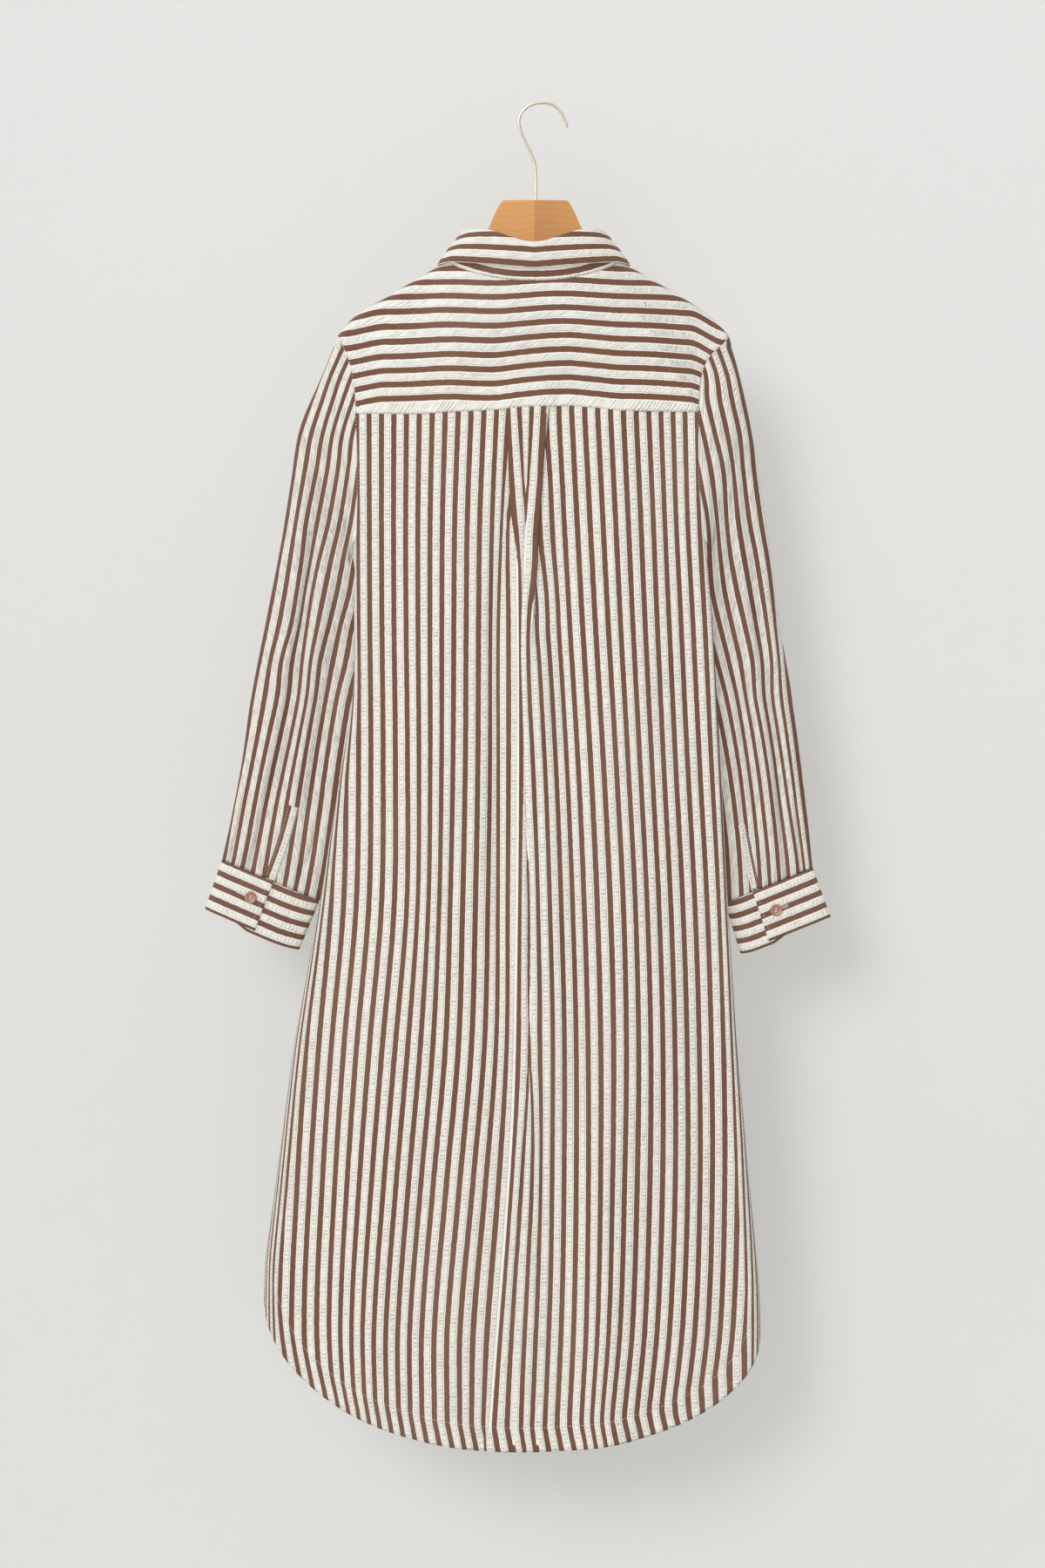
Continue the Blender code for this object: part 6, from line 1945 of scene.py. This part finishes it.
cuff_threads = Threads()
for side in (-1, 1):
    lap = CUFFS[side].lap_angle
    turn = np.linspace(lap - CUFF_END, lap - 335.0, 160)
    for down in CUFF_STITCHES:
        stitch_cuff(side, down + cuff_shift(lap, turn), turn, cuff_top(lap, turn))
    stitch_cuff(side, np.linspace(*CUFF_STITCHES, 20), np.full(20, lap - CUFF_END), CUFF_STEP)
    strip = cuffs[side][2]
    for column in (1, -2):
        stitch(cuff_threads, strip[1:-1, column], BACKWARD, CLOTH / 2)
cuff_threads.finish("stitches_cuffs")


# %% [markdown]
# A buttonhole is a slit whose edges are bound with threads side by side. On the cuffs and on the
# stand it lies along the band, and on the front it stands upright.

# %% Buttonholes
HOLE_STEP, HOLE_THREAD = 0.62, 0.27
HOLE_IN, HOLE_OUT = 0.25, 1.45  # from the slit to both ends of a thread beside it
EYE_STRANDS = (-0.3, 0.0, 0.3)
EYE_REACH = np.array([[-1.05], [-0.95], [0.0], [0.95], [1.05]])  # along a thread from hole to hole
EYE_RISE = np.array([[0.2], [0.66], [0.84], [0.66], [0.2]])


def buttonhole(threads, centre, along, facing, length=14.0):
    """A worked buttonhole: threads side by side round a slit, with a fan at each end."""
    across = unit(np.cross(along, facing))
    for offset in np.arange(-length / 2, length / 2 + 0.1, HOLE_STEP):
        for hand in (-1.0, 1.0):
            near = centre + along * offset + across * hand * HOLE_IN
            far = centre + along * offset + across * hand * HOLE_OUT
            threads.add([near + facing * 0.05, (near + far) / 2 + facing * 0.32, far], HOLE_THREAD, 4)
    for end in (-1.0, 1.0):
        start = centre + along * end * length / 2
        for angle in np.radians(np.arange(-60.0, 61.0, 24.0)):
            way = along * math.cos(angle) * end + across * math.sin(angle)
            middle = start + way * (HOLE_IN + HOLE_OUT) / 2 + facing * 0.3
            threads.add([start + way * HOLE_IN, middle, start + way * HOLE_OUT], HOLE_THREAD, 4)


def cuff_slit(side, facing):
    """Middle and direction of the buttonhole in a cuff."""
    cuff = CUFFS[side]
    turn = math.degrees(math.acos(1.0 - 2.0 * cuff.button_across))
    here = cuff_point(side, cuff.button_down, np.array(turn), CUFF_STEP)
    along = unit(cuff_point(side, cuff.button_down, np.array(turn - 8.0), CUFF_STEP) - here)
    return here + along * 5.2 + facing * (BAND / 2), along


hole_threads, eye_threads = Threads(), Threads()
UP = np.array([0.0, 0.0, 1.0])
for name, (base, facing, radius, thick) in BUTTONS.items():
    middle = base + facing * 0.05
    along = UP if name.startswith("front") else unit(np.cross(facing, UP))
    if name.startswith("cuff"):
        middle, along = cuff_slit(-1 if name.endswith("left") else 1, facing)
    buttonhole(hole_threads, middle, along, facing)
    aside, upward = button_axes[name]
    over = EYE_REACH * HOLE_OFF * radius * aside + EYE_RISE * thick * facing
    for hand in (-1.0, 1.0):
        for strand in EYE_STRANDS:
            eye_threads.add(base + upward * (hand * HOLE_OFF * radius + strand) + over, 0.19)
hole_threads.finish("buttonholes")
eye_threads.finish("button_threads")

# %% [markdown]
# ## Backdrop and light
#
# A pale wall close behind the dress takes its soft shadow. A wide sun above and to the left shapes
# the folds. A second sun and a high lamp, both without shadow, keep the hollows open, and a lamp
# beyond the wall lights the far side. The wall is seen from its front only, so that side stays in
# view.

# %% Stage
WALL_Y = 0.115
FLOOR_Z = -1.78
REACH = 5.0  # of the wall and the floor to both sides and to the front
WALL_TONE = (0.622, 0.625, 0.611, 1.0)
WALL_CLOUD = (0.70, 0.70, 0.68, 1.0)
bpy.context.scene.view_settings.view_transform = "Standard"


def stage_plane(name, corners):
    mesh = bpy.data.meshes.new(name)
    mesh.from_pydata(corners, [], [(0, 1, 2, 3)])
    material, shader, net, spot = new_material(name)
    cloud = net.ramp(net.noise(spot, 1.4, 2.0), 0.3, 0.7, 0.0, 0.15)
    net.feed(shader.inputs["Base Color"], net.colour(cloud, WALL_TONE, WALL_CLOUD))
    shader.inputs["Roughness"].default_value = 0.9
    clear = net.add("BsdfTransparent")
    behind = net.add("NewGeometry")
    shade = net.add("LightPath").outputs["Is Shadow Ray"]
    path = net.add("MixShader", Fac=net.math("MAXIMUM", behind.outputs["Backfacing"], shade))
    net.feed(path.inputs[1], shader.outputs[0])
    net.feed(path.inputs[2], clear.outputs[0])
    net.feed(material.node_tree.nodes["Material Output"].inputs[0], path.outputs[0])
    thing = new_object(name, mesh)
    mesh.materials.append(material)
    return thing


foot = [(-REACH, WALL_Y, FLOOR_Z), (REACH, WALL_Y, FLOOR_Z)]
stage_plane("wall", foot + [(REACH, WALL_Y, 3.0), (-REACH, WALL_Y, 3.0)])
stage_plane("floor", [(-REACH, -REACH, FLOOR_Z), (REACH, -REACH, FLOOR_Z)] + foot[::-1])


def area_light(name, place_at, aim, width, energy):
    lamp = bpy.data.lights.new(name, "AREA")
    lamp.shape = "SQUARE"
    lamp.size, lamp.energy = width, energy
    thing = new_object(name, lamp)
    thing.location = place_at
    thing.rotation_euler = (Vector(aim) - Vector(place_at)).to_track_quat("-Z", "Y").to_euler()
    return thing


def sun_light(name, comes_from, strength, angle, shadow):
    """Even light from one side; a wide angle softens its shadows."""
    lamp = bpy.data.lights.new(name, "SUN")
    lamp.energy, lamp.angle, lamp.use_shadow = strength, math.radians(angle), shadow
    thing = new_object(name, lamp)
    thing.rotation_euler = Vector(comes_from).to_track_quat("Z", "Y").to_euler()
    return thing


sun_light("key", (-1.6, -2.5, 1.5), strength=0.85, angle=26.0, shadow=True)
sun_light("front", (-1.2, -2.5, 1.2), strength=1.24, angle=40.0, shadow=False)
high_front = area_light("high_front", (0.1, -2.2, 1.2), aim=(0.0, 0.0, -0.3), width=1.5, energy=20.0)
high_front.data.use_shadow = False
area_light("far_side", (1.2, 3.2, 1.0), aim=(0.0, 0.0, -0.7), width=2.0, energy=55.0)
world = bpy.data.worlds.new("studio")
bpy.context.scene.world = world
world.use_nodes = True
world.node_tree.nodes["Background"].inputs[0].default_value = (1.0, 1.0, 1.0, 1.0)
world.node_tree.nodes["Background"].inputs[1].default_value = 0.44
print("lights", len(bpy.data.lights))

# %% [markdown]
# ## Sizes of the cloth
#
# Every sheet prints the flat width and length it was cut from, and its area as it lies.

# %% Cloth facts
FULL_SHARE = 0.98  # a sheet's area stays below this part of its width by its length


def sheet_area(points):
    """Area of a sheet as it lies, in square metres."""
    a, b = points[1:, 1:] - points[:-1, :-1], points[1:, :-1] - points[:-1, 1:]
    return float(np.sum(np.linalg.norm(np.cross(a, b), axis=-1)) / 2 * MM * MM)


def declare(sheet, points):
    area = sheet_area(points)
    width = max(0.010, float(arc(points, 1)[:, -1].max()) * MM)
    length = float(arc(points, 0)[-1].max()) * MM
    if area > FULL_SHARE * width * length:
        width, length = width * 1.02, length * 1.01
    print(sheet.name, "flat", round(width, 3), round(length, 3), "area", round(area, 4))


declare(yoke_sheet, yoke)
declare(back_sheet, back)
for side, name in SIDES:
    declare(fronts[side][1], fronts[side][0])
    declare(bands[side][1], bands[side][0])
    declare(sleeves[side][3], sleeves[side][0])
    declare(cuffs[side][1], cuffs[side][0])
    declare(cuffs[side][3], cuffs[side][2])
declare(stand_sheet, stand)
declare(fall_sheet, fall)
